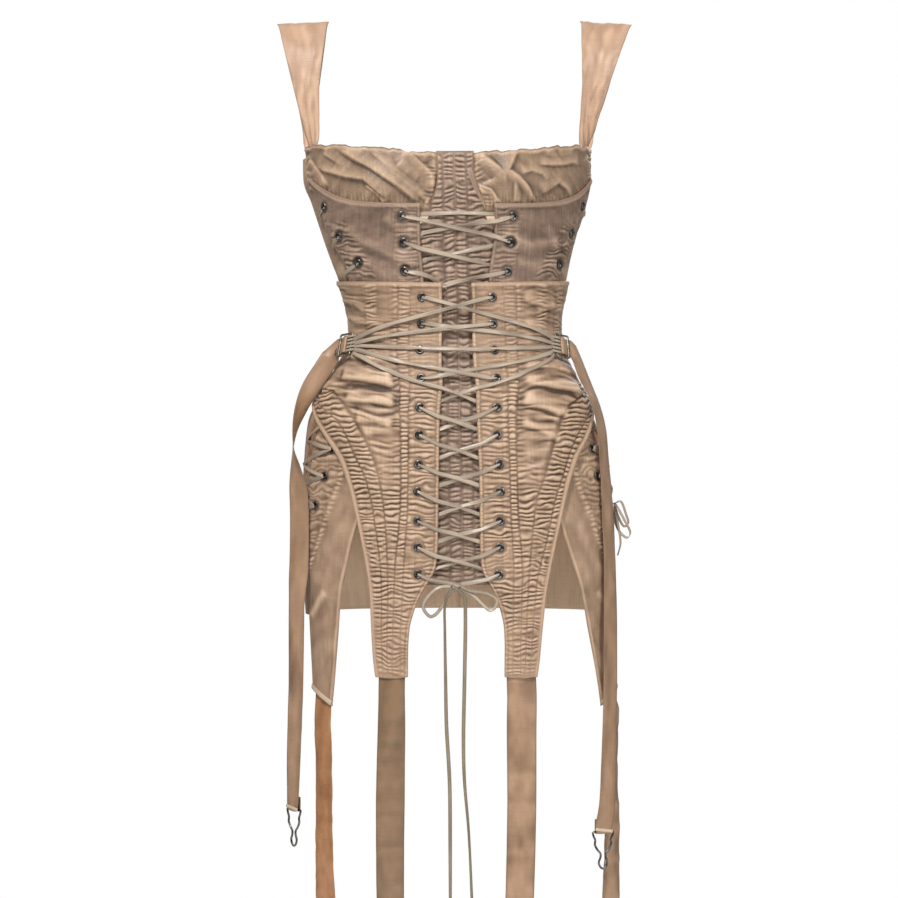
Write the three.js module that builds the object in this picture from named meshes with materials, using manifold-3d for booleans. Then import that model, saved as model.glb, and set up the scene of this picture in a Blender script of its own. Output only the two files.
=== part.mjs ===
// A laced corset dress with garter tabs, as worn and with no wearer inside.
// Millimetres, +Z up, the front faces -Y. The origin is between the two shoulder strap tops.
import * as THREE from 'three';
import { mergeVertices } from 'three/addons/utils/BufferGeometryUtils.js';
import Module from 'manifold-3d';

const wasm = await Module();
wasm.setup();

// Cloth and layers: each number is a height above the general figure that the dress is cut for.
const CLOTH = 1.2;
const SEAM = 0.35;
const BODICE_LIFT = 3.8;
const GIRDLE_LIFT = 6.2;
const EDGE_LIFT = CLOTH + 6 * SEAM;
const GIRDLE_TOP = GIRDLE_LIFT + CLOTH;
const BODICE_TOP = BODICE_LIFT + CLOTH;

// Gathers: crest height over the cloth and distance between crests.
const GIRDLE_CREST = 1.0;
const GIRDLE_PITCH = 14;
const CENTRE_CREST = 0.6;
const CENTRE_PITCH = 14;

// Hardware and ribbons.
const EYELET = { hole: 2.52, barrel: 3.0, flange: 4.8, rise: 1.15, sides: 7, cut: 3.5, seat: 0.72 };
const SLIDE = { wide: 17, high: 28, bar: 2.2, deep: 1.4, lift: 14.3, lean: 0.33, turn: 0.42 };
const SLIDES = [{ side: -1, u: 122, z: -355 }, { side: 1, u: 113, z: -356 }];
const LACE = { wide: 3.7, thick: 0.55, step: 30, fanStep: 24, hipStep: 14 };
const LACE_LIFT = GIRDLE_TOP + EYELET.rise + 0.75;
const LACE_OVER = 0.75;
const RIBBON_THICK = 1.0;
const SUSPENDER = { wide: 20, thick: 0.9 };
const WIRE = { radius: 0.9, sides: 5 };
const HANG_END = -992;

// The figure's sections: half width, depth to the front and to the back, sideways shift of the
// section, and where the dress's centre line lies on it, all by height.
const ROUNDNESS = 2.35;
const FIGURE = [
  { z: -100, half: 149, front: 80, back: 80, shift: -9, centre: 8.5 },
  { z: -130, half: 154, front: 88, back: 86, shift: -9, centre: 8.5 },
  { z: -170, half: 154, front: 94, back: 90, shift: -8.5, centre: 8.7 },
  { z: -195, half: 147, front: 94, back: 89, shift: -7, centre: 9 },
  { z: -235, half: 134.5, front: 90, back: 85, shift: -6, centre: 8 },
  { z: -280, half: 121, front: 85, back: 79, shift: -3, centre: 4 },
  { z: -305, half: 114, front: 82, back: 76, shift: -1, centre: 3 },
  { z: -330, half: 111, front: 80, back: 75, shift: 0, centre: 2 },
  { z: -350, half: 112.5, front: 82, back: 77, shift: 0, centre: 2 },
  { z: -375, half: 124, front: 88, back: 85, shift: -1.5, centre: 4 },
  { z: -400, half: 138, front: 94, back: 94, shift: -3, centre: 7 },
  { z: -425, half: 151, front: 98, back: 101, shift: -4, centre: 7 },
  { z: -455, half: 159, front: 100, back: 106, shift: -1, centre: 4.5 },
  { z: -495, half: 164, front: 101, back: 109, shift: 1.5, centre: 2.5 },
  { z: -540, half: 167, front: 101, back: 109, shift: 3.5, centre: 0.5 },
  { z: -590, half: 167, front: 101, back: 107, shift: 4.5, centre: -1 },
  { z: -640, half: 165, front: 101, back: 105, shift: 5, centre: -3 },
  { z: -745, half: 168, front: 101, back: 104, shift: 11, centre: -10 },
];
const CUP = { x: 68, z: -182, out: 15, wide: 40, high: 40 };

// Cut lines. u is the girth distance from the centre front line, the same on both sides.
const CENTRE_EDGE = [
  { z: -148, u: 19.6 }, { z: -170, u: 19 }, { z: -190, u: 23 }, { z: -204, u: 28.5 }, { z: -218, u: 30 },
  { z: -230, u: 44 }, { z: -290, u: 42 }, { z: -330, u: 34 }, { z: -400, u: 32 }, { z: -500, u: 34 },
  { z: -603, u: 35 },
];
const CUP_TOP = [
  { u: 20, z: -150 }, { u: 50, z: -148.5 }, { u: 100, z: -143 }, { u: 140, z: -138.5 }, { u: 182, z: -138 },
];
const BODICE_TOP_EDGE = [
  { u: 33, z: -203.5 }, { u: 75, z: -202.5 }, { u: 110, z: -200 }, { u: 140, z: -193 },
  { u: 162, z: -182 }, { u: 176, z: -172 },
];
const BODICE_INNER = [{ z: -200, u: 40 }, { z: -241, u: 38.5 }, { z: -272, u: 35 }, { z: -297, u: 33.5 }];
const BODICE_OUTER = [
  { z: -172, u: 176 }, { z: -184, u: 173 }, { z: -201, u: 168 }, { z: -231, u: 149 },
  { z: -264, u: 127 }, { z: -297, u: 114 },
];
const GIRDLE_TOP_EDGE = [{ u: 15, z: -286 }, { u: 50, z: -285 }, { u: 95, z: -283 }, { u: 140, z: -280.5 }, { u: 170, z: -279.5 }];
const GIRDLE_INNER = [
  { z: -280, u: 15.6 }, { z: -336, u: 15.8 }, { z: -390, u: 17 }, { z: -411, u: 18.5 }, { z: -462, u: 20.5 },
  { z: -514, u: 21.5 }, { z: -566, u: 22.2 }, { z: -583, u: 23.7 }, { z: -591, u: 26 }, { z: -600, u: 31 },
  { z: -614, u: 38.5 }, { z: -634, u: 45.8 }, { z: -650, u: 49 }, { z: -671, u: 50 }, { z: -700, u: 50 },
];
const GIRDLE_OUTER = [
  { z: -279, u: 168 }, { z: -305, u: 160 }, { z: -330, u: 156 }, { z: -355, u: 159 }, { z: -380, u: 172 },
  { z: -400, u: 183 }, { z: -412, u: 186 }, { z: -424, u: 171 }, { z: -438, u: 156 }, { z: -455, u: 141 },
  { z: -470, u: 129.5 }, { z: -486, u: 122 }, { z: -510, u: 114 }, { z: -540, u: 106.5 }, { z: -587, u: 96.5 },
  { z: -614, u: 92 }, { z: -648, u: 88.5 }, { z: -682, u: 85.8 }, { z: -700, u: 83.5 },
];
const GIRDLE_HEM = -699;
const HIP_INNER = [
  { z: -398, u: 150 }, { z: -430, u: 140 }, { z: -460, u: 124 }, { z: -486, u: 110 }, { z: -520, u: 104 },
  { z: -542, u: 109 }, { z: -561, u: 115.5 }, { z: -585, u: 122.5 }, { z: -617, u: 132 }, { z: -651, u: 137.5 },
  { z: -693, u: 144.5 }, { z: -730, u: 150 },
];
const HIP_OUTER = [
  { z: -398, u: 166 }, { z: -436, u: 165 }, { z: -461, u: 171 }, { z: -490, u: 179 }, { z: -520, u: 183 },
  { z: -560, u: 184 }, { z: -600, u: 187 }, { z: -626, u: 188 }, { z: -660, u: 187 }, { z: -719, u: 185 },
];
const HIP_TOP = -400;
const HIP_HEM = { inner: -733, outer: -716 };
const BACK_EDGE = [
  { z: -150, u: 184.6 }, { z: -181, u: 187 }, { z: -194, u: 164 }, { z: -204, u: 151 }, { z: -231, u: 134 },
  { z: -264, u: 116 }, { z: -283, u: 122 }, { z: -305, u: 146 }, { z: -330, u: 147 }, { z: -355, u: 150 }, { z: -380, u: 162 },
  { z: -398, u: 171 }, { z: -436, u: 176 }, { z: -461, u: 183 }, { z: -490, u: 190 }, { z: -520, u: 189 },
  { z: -545, u: 185.4 }, { z: -600, u: 188.5 }, { z: -640, u: 189.6 },
];
const BACK_HEM = -638;
const TAB_SWING = { from: -540, to: -720, by: 13 };

// Eyelets down each lacing edge.
const BODICE_EYELETS = [{ u: 58, z: -215 }, { u: 55, z: -243 }, { u: 53.5, z: -273.4 }];
const GIRDLE_EYELETS = [
  { u: 36, z: -301 }, { u: 36.5, z: -329.5 }, { u: 38, z: -359 }, { u: 38.5, z: -388.7 }, { u: 39.5, z: -419 },
  { u: 40, z: -447 }, { u: 41.5, z: -477.5 }, { u: 42.5, z: -505.5 }, { u: 42.5, z: -536.5 }, { u: 42, z: -564 },
  { u: 41.5, z: -592 },
];
const FAN_ROWS = 4;
const HIP_LACING = [{ z: -440, front: 160, back: 186 }, { z: -466, front: 147, back: 196 },
  { z: -492, front: 155, back: 202 }, { z: -518, front: 164, back: 201 }];

const CLOTH_COLOUR = 0xb6947b;
const SATIN_COLOUR = 0xb58e70;
const LACE_COLOUR = 0xb3a28a;
const METAL_COLOUR = 0x9a978c;

const clothMaterial = new THREE.MeshStandardMaterial({ color: CLOTH_COLOUR, roughness: 0.72, metalness: 0 });
const satinMaterial = new THREE.MeshStandardMaterial({ color: SATIN_COLOUR, roughness: 0.5, metalness: 0 });
const laceMaterial = new THREE.MeshStandardMaterial({ color: LACE_COLOUR, roughness: 0.55, metalness: 0 });
const metalMaterial = new THREE.MeshStandardMaterial({ color: METAL_COLOUR, roughness: 0.3, metalness: 0.9 });

const garment = new THREE.Group();

// Small numbers helpers.
const mix = (a, b, t) => a + (b - a) * t;
const clamp = (v, low, high) => Math.min(high, Math.max(low, v));
const ease = (from, to, v) => {
  const t = clamp((v - from) / (to - from), 0, 1);
  return t * t * (3 - 2 * t);
};

// Value of one column of a table, rising or falling in its key, by a monotone cubic.
function read(table, key, column, at) {
  const rows = table[0][key] < table[table.length - 1][key] ? table : [...table].reverse();
  const x = rows.map((row) => row[key]);
  const y = rows.map((row) => row[column]);
  const last = x.length - 1;
  const v = clamp(at, x[0], x[last]);
  let i = 0;
  while (i < last - 1 && x[i + 1] < v) i += 1;
  const step = (k) => x[k + 1] - x[k];
  const rise = (k) => (y[k + 1] - y[k]) / step(k);
  const slope = (k) => {
    if (k === 0) return rise(0);
    if (k === last) return rise(last - 1);
    if (rise(k - 1) * rise(k) <= 0) return 0;
    const before = 2 * step(k) + step(k - 1);
    const after = step(k) + 2 * step(k - 1);
    return (before + after) / (before / rise(k - 1) + after / rise(k));
  };
  const h = step(i);
  const t = (v - x[i]) / h;
  return (1 + 2 * t) * (1 - t) ** 2 * y[i] + t * (1 - t) ** 2 * h * slope(i)
    + t * t * (3 - 2 * t) * y[i + 1] + t * t * (t - 1) * h * slope(i + 1);
}

// One section of the figure as a closed line, with the girth measured from the front.
const RING_STEPS = 360;
const rings = new Map();
function ring(z) {
  const key = z.toFixed(2);
  if (rings.has(key)) return rings.get(key);
  const [half, front, back, shift] = ['half', 'front', 'back', 'shift'].map((c) => read(FIGURE, 'z', c, z));
  const x = [];
  const y = [];
  const girth = [0];
  for (let k = 0; k <= RING_STEPS; k += 1) {
    const angle = -Math.PI + (2 * Math.PI * k) / RING_STEPS;
    const c = Math.cos(angle);
    const s = Math.sin(angle);
    const depth = c > 0 ? front : back;
    const reach = (Math.abs(s / half) ** ROUNDNESS + Math.abs(c / depth) ** ROUNDNESS) ** (-1 / ROUNDNESS);
    const px = reach * s;
    const bulge = CUP.out * Math.exp(-(((Math.abs(px) - CUP.x) / CUP.wide) ** 2) - ((z - CUP.z) / CUP.high) ** 2);
    x.push(px + shift);
    y.push(-reach * c - bulge * clamp(c * 3, 0, 1));
    if (k > 0) girth.push(girth[k - 1] + Math.hypot(x[k] - x[k - 1], y[k] - y[k - 1]));
  }
  const middle = girth[RING_STEPS / 2];
  const found = { x, y, girth: girth.map((g) => g - middle) };
  rings.set(key, found);
  return found;
}

const along = (list, at) => {
  const k = clamp(Math.floor(at), 0, list.length - 2);
  return mix(list[k], list[k + 1], at - k);
};

// Where a girth distance falls on a ring, as a fractional index.
function placeOf({ girth }, s) {
  let low = 0;
  let high = girth.length - 1;
  const v = clamp(s, girth[0], girth[high]);
  while (high - low > 1) {
    const middle = (low + high) >> 1;
    if (girth[middle] <= v) low = middle;
    else high = middle;
  }
  return low + (v - girth[low]) / (girth[high] - girth[low]);
}

// The figure's point and outward normal: side is 1 on the right and -1 on the left.
function onFigure(side, u, z, lift = 0) {
  const s = read(FIGURE, 'z', 'centre', z) + side * u;
  const here = ring(z);
  const at = placeOf(here, s);
  const above = ring(z + 1);
  const below = ring(z - 1);
  const point = new THREE.Vector3(along(here.x, at), along(here.y, at), z);
  const up = new THREE.Vector3(along(above.x, at) - along(below.x, at), along(above.y, at) - along(below.y, at), 2);
  const before = clamp(at - 0.7, 0, RING_STEPS);
  const after = clamp(at + 0.7, 0, RING_STEPS);
  const round = new THREE.Vector3(
    along(here.x, after) - along(here.x, before), along(here.y, after) - along(here.y, before), 0);
  const normal = round.cross(up).normalize();
  return { point: point.addScaledVector(normal, lift), normal };
}

// Half of the girth at a height, from the dress's centre line round to the centre back.
const halfGirth = (side, z) => {
  const { girth } = ring(z);
  const centre = read(FIGURE, 'z', 'centre', z);
  return side > 0 ? girth[RING_STEPS] - centre : -girth[0] + centre;
};

function geometryOf(points, faces) {
  const geometry = new THREE.BufferGeometry();
  geometry.setAttribute('position', new THREE.Float32BufferAttribute(points.flatMap((p) => [p.x, p.y, p.z]), 3));
  let volume = 0;
  for (const [a, b, c] of faces) volume += points[a].dot(points[b].clone().cross(points[c]));
  geometry.setIndex(faces.flatMap(([a, b, c]) => (volume > 0 ? [a, b, c] : [a, c, b])));
  return geometry;
}

function add(name, geometry, material) {
  geometry.computeVertexNormals();
  const mesh = new THREE.Mesh(geometry, material);
  mesh.name = name;
  garment.add(mesh);
  return mesh;
}

// A closed cloth wall. Both faces are grids over a unit square; the inner one may be coarser.
function clothWall(outerAt, innerAt, columns, outerRows, innerRows) {
  const points = [];
  const faces = [];
  const grid = (at, rows) => {
    const ids = rows.map((v) => columns.map((h) => points.push(at(h, v)) - 1));
    return ids;
  };
  const outer = grid(outerAt, outerRows);
  const inner = grid(innerAt, innerRows);
  const fill = (ids, turned) => {
    for (let r = 0; r + 1 < ids.length; r += 1) {
      for (let c = 0; c + 1 < columns.length; c += 1) {
        const [p, q, s, t] = [ids[r][c], ids[r][c + 1], ids[r + 1][c + 1], ids[r + 1][c]];
        if (turned) faces.push([p, s, q], [p, t, s]);
        else faces.push([p, q, s], [p, s, t]);
      }
    }
  };
  fill(outer, false);
  fill(inner, true);
  // Joins two rims that share their ends, going down both by their place along the side.
  const stitch = (a, aAt, b, bAt, turned) => {
    let i = 0;
    let j = 0;
    while (i + 1 < a.length || j + 1 < b.length) {
      const stepA = j + 1 >= b.length || (i + 1 < a.length && aAt[i + 1] <= bAt[j + 1]);
      const face = stepA ? [a[i], a[i + 1], b[j]] : [a[i], b[j + 1], b[j]];
      if (stepA) i += 1;
      else j += 1;
      faces.push(turned ? [face[0], face[2], face[1]] : face);
    }
  };
  const last = columns.length - 1;
  stitch(outer.map((r) => r[0]), outerRows, inner.map((r) => r[0]), innerRows, false);
  stitch(outer.map((r) => r[last]), outerRows, inner.map((r) => r[last]), innerRows, true);
  stitch(outer[0], columns, inner[0], columns, true);
  stitch(outer[outer.length - 1], columns, inner[inner.length - 1], columns, false);
  return geometryOf(points, faces);
}

// Places from 0 to 1: evenly, or for gathers one row at each crest and each hollow.
const even = (count) => Array.from({ length: count + 1 }, (_, k) => k / count);
const gatherRows = (length, pitch) => even(2 * Math.round(length / pitch));

function solidOf(geometry) {
  const bare = geometry.clone();
  for (const name of ['normal', 'uv']) bare.deleteAttribute(name);
  const whole = mergeVertices(bare, 1e-5);
  return new wasm.Manifold(new wasm.Mesh({
    numProp: 3,
    vertProperties: new Float32Array(whole.attributes.position.array),
    triVerts: new Uint32Array(whole.index.array),
  }));
}

function geometryFrom(solid) {
  const mesh = solid.getMesh();
  const geometry = new THREE.BufferGeometry();
  geometry.setAttribute('position', new THREE.BufferAttribute(mesh.vertProperties, 3));
  geometry.setIndex(new THREE.BufferAttribute(mesh.triVerts, 1));
  return geometry;
}

// Turns a shape built along +Y, or lying in XY, so that it stands on the cloth.
function standing(side, u, z, lift, lean = 0) {
  const { point, normal } = onFigure(side, u, z, lift);
  const up = new THREE.Vector3(0, 0, 1).addScaledVector(normal, -normal.z).normalize();
  up.applyAxisAngle(normal, lean);
  const across = up.clone().cross(normal).normalize();
  return { point, normal, up, across };
}

function punched(geometry, side, spots, lift) {
  let solid = solidOf(geometry);
  for (const { u, z } of spots) {
    const { point, normal } = standing(side, u, z, lift);
    const drill = new THREE.CylinderGeometry(EYELET.cut, EYELET.cut, 9, EYELET.sides);
    drill.applyQuaternion(new THREE.Quaternion().setFromUnitVectors(new THREE.Vector3(0, 1, 0), normal));
    drill.translate(point.x, point.y, point.z);
    solid = solid.subtract(solidOf(drill));
  }
  return geometryFrom(solid);
}

const clearOf = (spots, u, z) => {
  const nearest = Math.min(...spots.map((spot) => Math.hypot(spot.u - u, spot.z - z)));
  return ease(8.5, 13, nearest);
};

// Height of the girdle's under side: high over the lacing, down on the side pieces at its edge.
const girdleLift = (u, z) => {
  const edge = read(GIRDLE_OUTER, 'z', 'u', z);
  const start = mix(edge - 32, 76, ease(-300, -322, z) * ease(-415, -385, z));
  const low = EDGE_LIFT + 0.15 - 0.8 * ease(-398, -375, z);
  return GIRDLE_LIFT - (GIRDLE_LIFT - low) * ease(start, edge - 9, u) * ease(-655, -600, z);
};
const bodiceLift = (u, z) => {
  const edge = read(BODICE_OUTER, 'z', 'u', z);
  const side = mix(EDGE_LIFT + 0.15, 3.0, ease(-215, -195, z));
  return mix(BODICE_LIFT, side, ease(66, edge - 22, u));
};

function sideName(side) {
  return side < 0 ? 'left' : 'right';
}

// The ruched panel behind the front lacing, from the neckline to just under the last eyelets.
function addCentreFront() {
  const top = -149;
  const hem = -603;
  const columns = even(4);
  const rows = gatherRows(top - hem, CENTRE_PITCH);
  const place = (h, v) => {
    const z = mix(top, hem, v);
    return { z, u: (h * 2 - 1) * read(CENTRE_EDGE, 'z', 'u', z) };
  };
  const outer = (h, v) => {
    const { u, z } = place(h, v);
    const crest = Math.round(v * (rows.length - 1)) % 2 === 1;
    const wander = 1.4 * Math.sin(u * 0.31 + z * 0.05);
    const inside = ease(0, 0.06, v) * ease(0, 0.06, 1 - v) * ease(0, 0.1, h) * ease(0, 0.1, 1 - h);
    return onFigure(1, u, z + wander * inside, CLOTH + (crest ? CENTRE_CREST * inside : 0)).point;
  };
  const inner = (h, v) => {
    const { u, z } = place(h, v);
    return onFigure(1, u, z, 0).point;
  };
  add('centre_front', clothWall(outer, inner, columns, rows, even(20)), clothMaterial);
}

// Diagonal tucks that cross each cup, as soft ridges from the side towards the centre.
const CUP_TUCKS = [
  { fromU: 150, fromZ: -146, toU: 48, toZ: -206, high: 1.0 },
  { fromU: 112, fromZ: -145, toU: 30, toZ: -188, high: 0.9 },
  { fromU: 146, fromZ: -166, toU: 82, toZ: -206, high: 0.8 },
];
const tuckHeight = (u, z) => CUP_TUCKS.reduce((sum, tuck) => {
  const line = new THREE.Vector2(tuck.toU - tuck.fromU, tuck.toZ - tuck.fromZ);
  const from = new THREE.Vector2(u - tuck.fromU, z - tuck.fromZ);
  const t = from.dot(line) / line.lengthSq();
  const away = Math.abs(from.cross(line)) / line.length();
  return sum + tuck.high * Math.exp(-((away / 5) ** 2)) * ease(-0.05, 0.12, t) * ease(-0.05, 0.12, 1 - t);
}, 0);

function addCup(side) {
  const columns = even(10);
  const place = (h, v) => {
    const topU = mix(20, 181, h);
    const top = read(CUP_TOP, 'u', 'z', topU);
    const z = mix(top, read(BODICE_TOP_EDGE, 'u', 'z', clamp(topU, 33, 176)) - 9, v);
    const inner = read(CENTRE_EDGE, 'z', 'u', z) + 1.15;
    return { z, u: mix(inner, mix(181, 184, v), h) };
  };
  const at = (lift, tucks) => (h, v) => {
    const { u, z } = place(h, v);
    return onFigure(side, u, z, lift + tucks * tuckHeight(u, z)).point;
  };
  add(`cup_${sideName(side)}`, clothWall(at(CLOTH, 1), at(0, 0), columns, even(9), even(5)), clothMaterial);
}

// The band under the cups, laced at the front and at the side.
function addBodiceFront(side) {
  const place = (h, v) => {
    const topU = mix(40, 176, h);
    const z = mix(read(BODICE_TOP_EDGE, 'u', 'z', topU), -296, v);
    return { z, u: mix(read(BODICE_INNER, 'z', 'u', z), read(BODICE_OUTER, 'z', 'u', z), h) };
  };
  const at = (lift) => (h, v) => {
    const { u, z } = place(h, v);
    return onFigure(side, u, z, bodiceLift(u, z) + lift).point;
  };
  const wall = clothWall(at(CLOTH), at(0), even(9), even(6), even(6));
  add(`bodice_front_${sideName(side)}`, punched(wall, side, BODICE_EYELETS, BODICE_LIFT), clothMaterial);
}

// The girdle's plain inner face has its rows closest where the panel reaches furthest round the hip.
const GIRDLE_INNER_ROWS = [0, 0.05, 0.1, 0.15, 0.2, 0.24, 0.275, 0.3, 0.315, 0.33, 0.345, 0.36, 0.39, 0.43,
  0.48, 0.54, 0.6, 0.66, 0.72, 0.78, 0.84, 0.9, 0.95, 1];

// The long front panel from the waist to the garter tab, with its gathers raised in the outer face.
function addGirdleFront(side) {
  const columns = [0, 0.16, 0.34, 0.52, 0.67, 0.79, 0.9, 1];
  const length = -280 - GIRDLE_HEM;
  const rows = gatherRows(length, GIRDLE_PITCH);
  const place = (h, v) => {
    const topU = mix(15.6, 168, h);
    const z = mix(read(GIRDLE_TOP_EDGE, 'u', 'z', topU), GIRDLE_HEM - 2 * Math.sin(Math.PI * h), v);
    return { z, u: mix(read(GIRDLE_INNER, 'z', 'u', z), read(GIRDLE_OUTER, 'z', 'u', z), h) };
  };
  const gathered = (u, z) => {
    const lacingBand = 1 - ease(58, 74, u);
    const lower = 1 - ease(-500, -440, z);
    return clamp(Math.max(lacingBand, lower) * clearOf(GIRDLE_EYELETS, u, z) + 0.12, 0, 1);
  };
  const outer = (h, v) => {
    const { u, z } = place(h, v);
    const crest = Math.round(v * (rows.length - 1)) % 2 === 1;
    const edge = ease(0, 0.03, v) * ease(0, 0.03, 1 - v);
    const full = gathered(u, z) * edge * clearOf(GIRDLE_EYELETS, u, z);
    const wander = 1.3 * Math.sin(u * 0.23 + z * 0.045) * full;
    return onFigure(side, u, z + wander, girdleLift(u, z) + CLOTH + (crest ? GIRDLE_CREST * full : 0)).point;
  };
  const inner = (h, v) => {
    const { u, z } = place(h, v);
    return onFigure(side, u, z, girdleLift(u, z)).point;
  };
  const wall = clothWall(outer, inner, columns, rows, GIRDLE_INNER_ROWS);
  add(`girdle_front_${sideName(side)}`, punched(wall, side, GIRDLE_EYELETS, GIRDLE_LIFT), clothMaterial);
}

// How far a side tab swings round to the wearer's left, more towards its end.
const swing = (side, z) => side * TAB_SWING.by * ease(TAB_SWING.from, TAB_SWING.to, z) * 0.9;

// The hip piece at each side, with a slit at its rear edge, ending in the side garter tab.
function addSideHip(side) {
  const place = (h, v) => {
    const z = mix(HIP_TOP, mix(HIP_HEM.inner, HIP_HEM.outer, h), v);
    const u = mix(read(HIP_INNER, 'z', 'u', z), read(HIP_OUTER, 'z', 'u', z), h);
    return { z, u: u + swing(side, z) };
  };
  const at = (lift) => (h, v) => {
    const { u, z } = place(h, v);
    return onFigure(side, u, z, lift).point;
  };
  add(`side_hip_${sideName(side)}`, clothWall(at(CLOTH), at(0), even(5), even(18), even(14)), clothMaterial);
}

// Each half of the back, from its front edge round to the centre back seam.
const BACK_ROWS = [-150, -165, -181, -187, -194, -204, -217, -231, -247, -264, -283, -305, -330, -355, -380,
  -398, -417, -436, -461, -490, -520, -545, -572, -600, -619, -638];

function addBack(side) {
  const rows = BACK_ROWS.map((z) => (BACK_ROWS[0] - z) / (BACK_ROWS[0] - BACK_HEM));
  const place = (h, v) => {
    const level = mix(BACK_ROWS[0], BACK_HEM, v);
    const front = read(BACK_EDGE, 'z', 'u', level) + swing(side, level) * ease(-560, -600, level);
    const dip = 12 * ease(0.15, 1, h) * ease(-215, -150, level);
    const z = level - dip;
    return { z, u: mix(front, halfGirth(side, z) - SEAM / 2, h) };
  };
  const at = (lift) => (h, v) => {
    const { u, z } = place(h, v);
    return onFigure(side, u, z, lift).point;
  };
  const columns = [0, 0.12, 0.26, 0.42, 0.6, 0.8, 1];
  add(`back_${sideName(side)}`, clothWall(at(CLOTH), at(0), columns, rows, rows), clothMaterial);
}

// A flat strip of cloth along a line. Each station gives its point, its width and its width's direction.
function strip(stations, thick) {
  const points = [];
  const faces = [];
  let before = null;
  stations.forEach((station, k) => {
    const next = stations[Math.min(k + 1, stations.length - 1)].point;
    const prior = stations[Math.max(k - 1, 0)].point;
    const ahead = next.clone().sub(station.point).normalize();
    const behind = station.point.clone().sub(prior).normalize();
    const way = ahead.add(behind).normalize();
    const across = station.across.clone().addScaledVector(way, -station.across.dot(way)).normalize();
    if (before && across.dot(before) < 0) across.negate();
    before = across;
    const face = way.clone().cross(across).normalize();
    for (const [a, b] of [[-1, -1], [1, -1], [1, 1], [-1, 1]]) {
      points.push(station.point.clone().addScaledVector(across, (a * station.wide) / 2)
        .addScaledVector(face, (b * thick) / 2));
    }
  });
  const count = stations.length;
  for (let k = 0; k + 1 < count; k += 1) {
    for (let c = 0; c < 4; c += 1) {
      const [p, q] = [4 * k + c, 4 * k + ((c + 1) % 4)];
      if (c < 2) faces.push([p, q, q + 4], [p, q + 4, p + 4]);
      else faces.push([p, q, p + 4], [q, q + 4, p + 4]);
    }
  }
  const end = 4 * (count - 1);
  faces.push([0, 2, 1], [0, 3, 2], [end, end + 1, end + 2], [end, end + 2, end + 3]);
  return geometryOf(points, faces);
}

const vector = ([x, y, z]) => new THREE.Vector3(x, y, z);

// Points and width directions along a smooth line through a few given ones.
function smooth(rows, count) {
  const curve = new THREE.CatmullRomCurve3(rows.map((row) => vector(row.at)), false, 'centripetal');
  const turns = new THREE.CatmullRomCurve3(rows.map((row) => vector(row.across)), false, 'centripetal');
  const wide = rows.map((row) => row.wide);
  return even(count).map((t) => ({
    point: curve.getPoint(t),
    across: turns.getPoint(t).normalize(),
    wide: along(wide, t * (wide.length - 1)),
  }));
}

// Shoulder straps, narrow where they are gathered onto the bodice and broad on the shoulder.
function addStrap(side) {
  const x = (left, right) => (side < 0 ? left : right);
  const front = standing(side, 171, x(-137, -135.1), CLOTH / 2);
  const rear = standing(side, x(246, 218), x(-150, -149.6), CLOTH / 2);
  const rows = [
    { at: front.point.toArray(), across: front.across.toArray(), wide: 13 },
    { at: [x(-154, 143), x(-39, -30), -112], across: [1, 0, 0.1], wide: 18 },
    { at: [x(-159, 150), x(-36, -34), -72], across: [1, 0, 0], wide: 28 },
    { at: [x(-162, 157), x(-26, -25), -30], across: [1, 0, 0], wide: 43 },
    { at: [x(-164, 163), 0, -1], across: [1, 0, -0.05 * side], wide: 56 },
    { at: [x(-162, 158), 23, -32], across: [1, 0, 0], wide: 38 },
    { at: [x(-161, 153), 33, -74], across: [1, 0, 0], wide: 24 },
    { at: [x(-158, 143.5), x(34, 29), -114], across: [1, 0.1 * side, 0], wide: 16 },
    { at: rear.point.toArray(), across: rear.across.toArray(), wide: 13 },
  ];
  for (const row of rows) if (row.across[0] < 0) row.across = row.across.map((v) => -v);
  add(`strap_${sideName(side)}`, strip(smooth(rows, 16), CLOTH), satinMaterial);
}

// A ribbon that hangs straight down from behind a garter tab.
function addRibbon(name, side, u, top, lift, rows) {
  const { point, across } = standing(side, u, top, lift);
  const stations = rows.map((row) => ({
    point: new THREE.Vector3(row.x, row.y ?? point.y, row.z),
    across: row.turn === undefined ? across : new THREE.Vector3(Math.cos(row.turn), Math.sin(row.turn), 0),
    wide: row.wide,
  }));
  add(name, strip([{ point, across, wide: rows[0].wide }, ...stations], RIBBON_THICK), satinMaterial);
}

// A ring of metal set in a cloth wall, open through its middle.
function addEyelet(name, side, { u, z }, lift) {
  const top = CLOTH + EYELET.rise;
  const profile = [[EYELET.hole, -0.3], [EYELET.barrel, -0.3], [EYELET.barrel, CLOTH + EYELET.seat],
    [EYELET.flange, CLOTH + EYELET.seat], [EYELET.hole, top], [EYELET.hole, -0.3]];
  const lathe = new THREE.LatheGeometry(profile.map(([r, h]) => new THREE.Vector2(r, h)), EYELET.sides);
  const { point, normal } = standing(side, u, z, lift);
  lathe.applyQuaternion(new THREE.Quaternion().setFromUnitVectors(new THREE.Vector3(0, 1, 0), normal));
  lathe.translate(point.x, point.y, point.z);
  add(name, geometryFrom(solidOf(lathe)), metalMaterial);
}

const union = (parts) => {
  let whole = solidOf(parts[0]);
  for (const part of parts.slice(1)) whole = whole.add(solidOf(part));
  return geometryFrom(whole);
};

// Where a slide buckle lies. Its long side leans with the waist lacing, which also turns its face to the front.
function slideSeat({ side, u, z }) {
  const { point, normal, up } = standing(side, u, z, SLIDE.lift, -side * SLIDE.lean);
  normal.applyAxisAngle(up, -side * SLIDE.turn);
  return { point, normal, up, across: up.clone().cross(normal).normalize() };
}

// A slide buckle's frame, with one bar through its middle.

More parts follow.
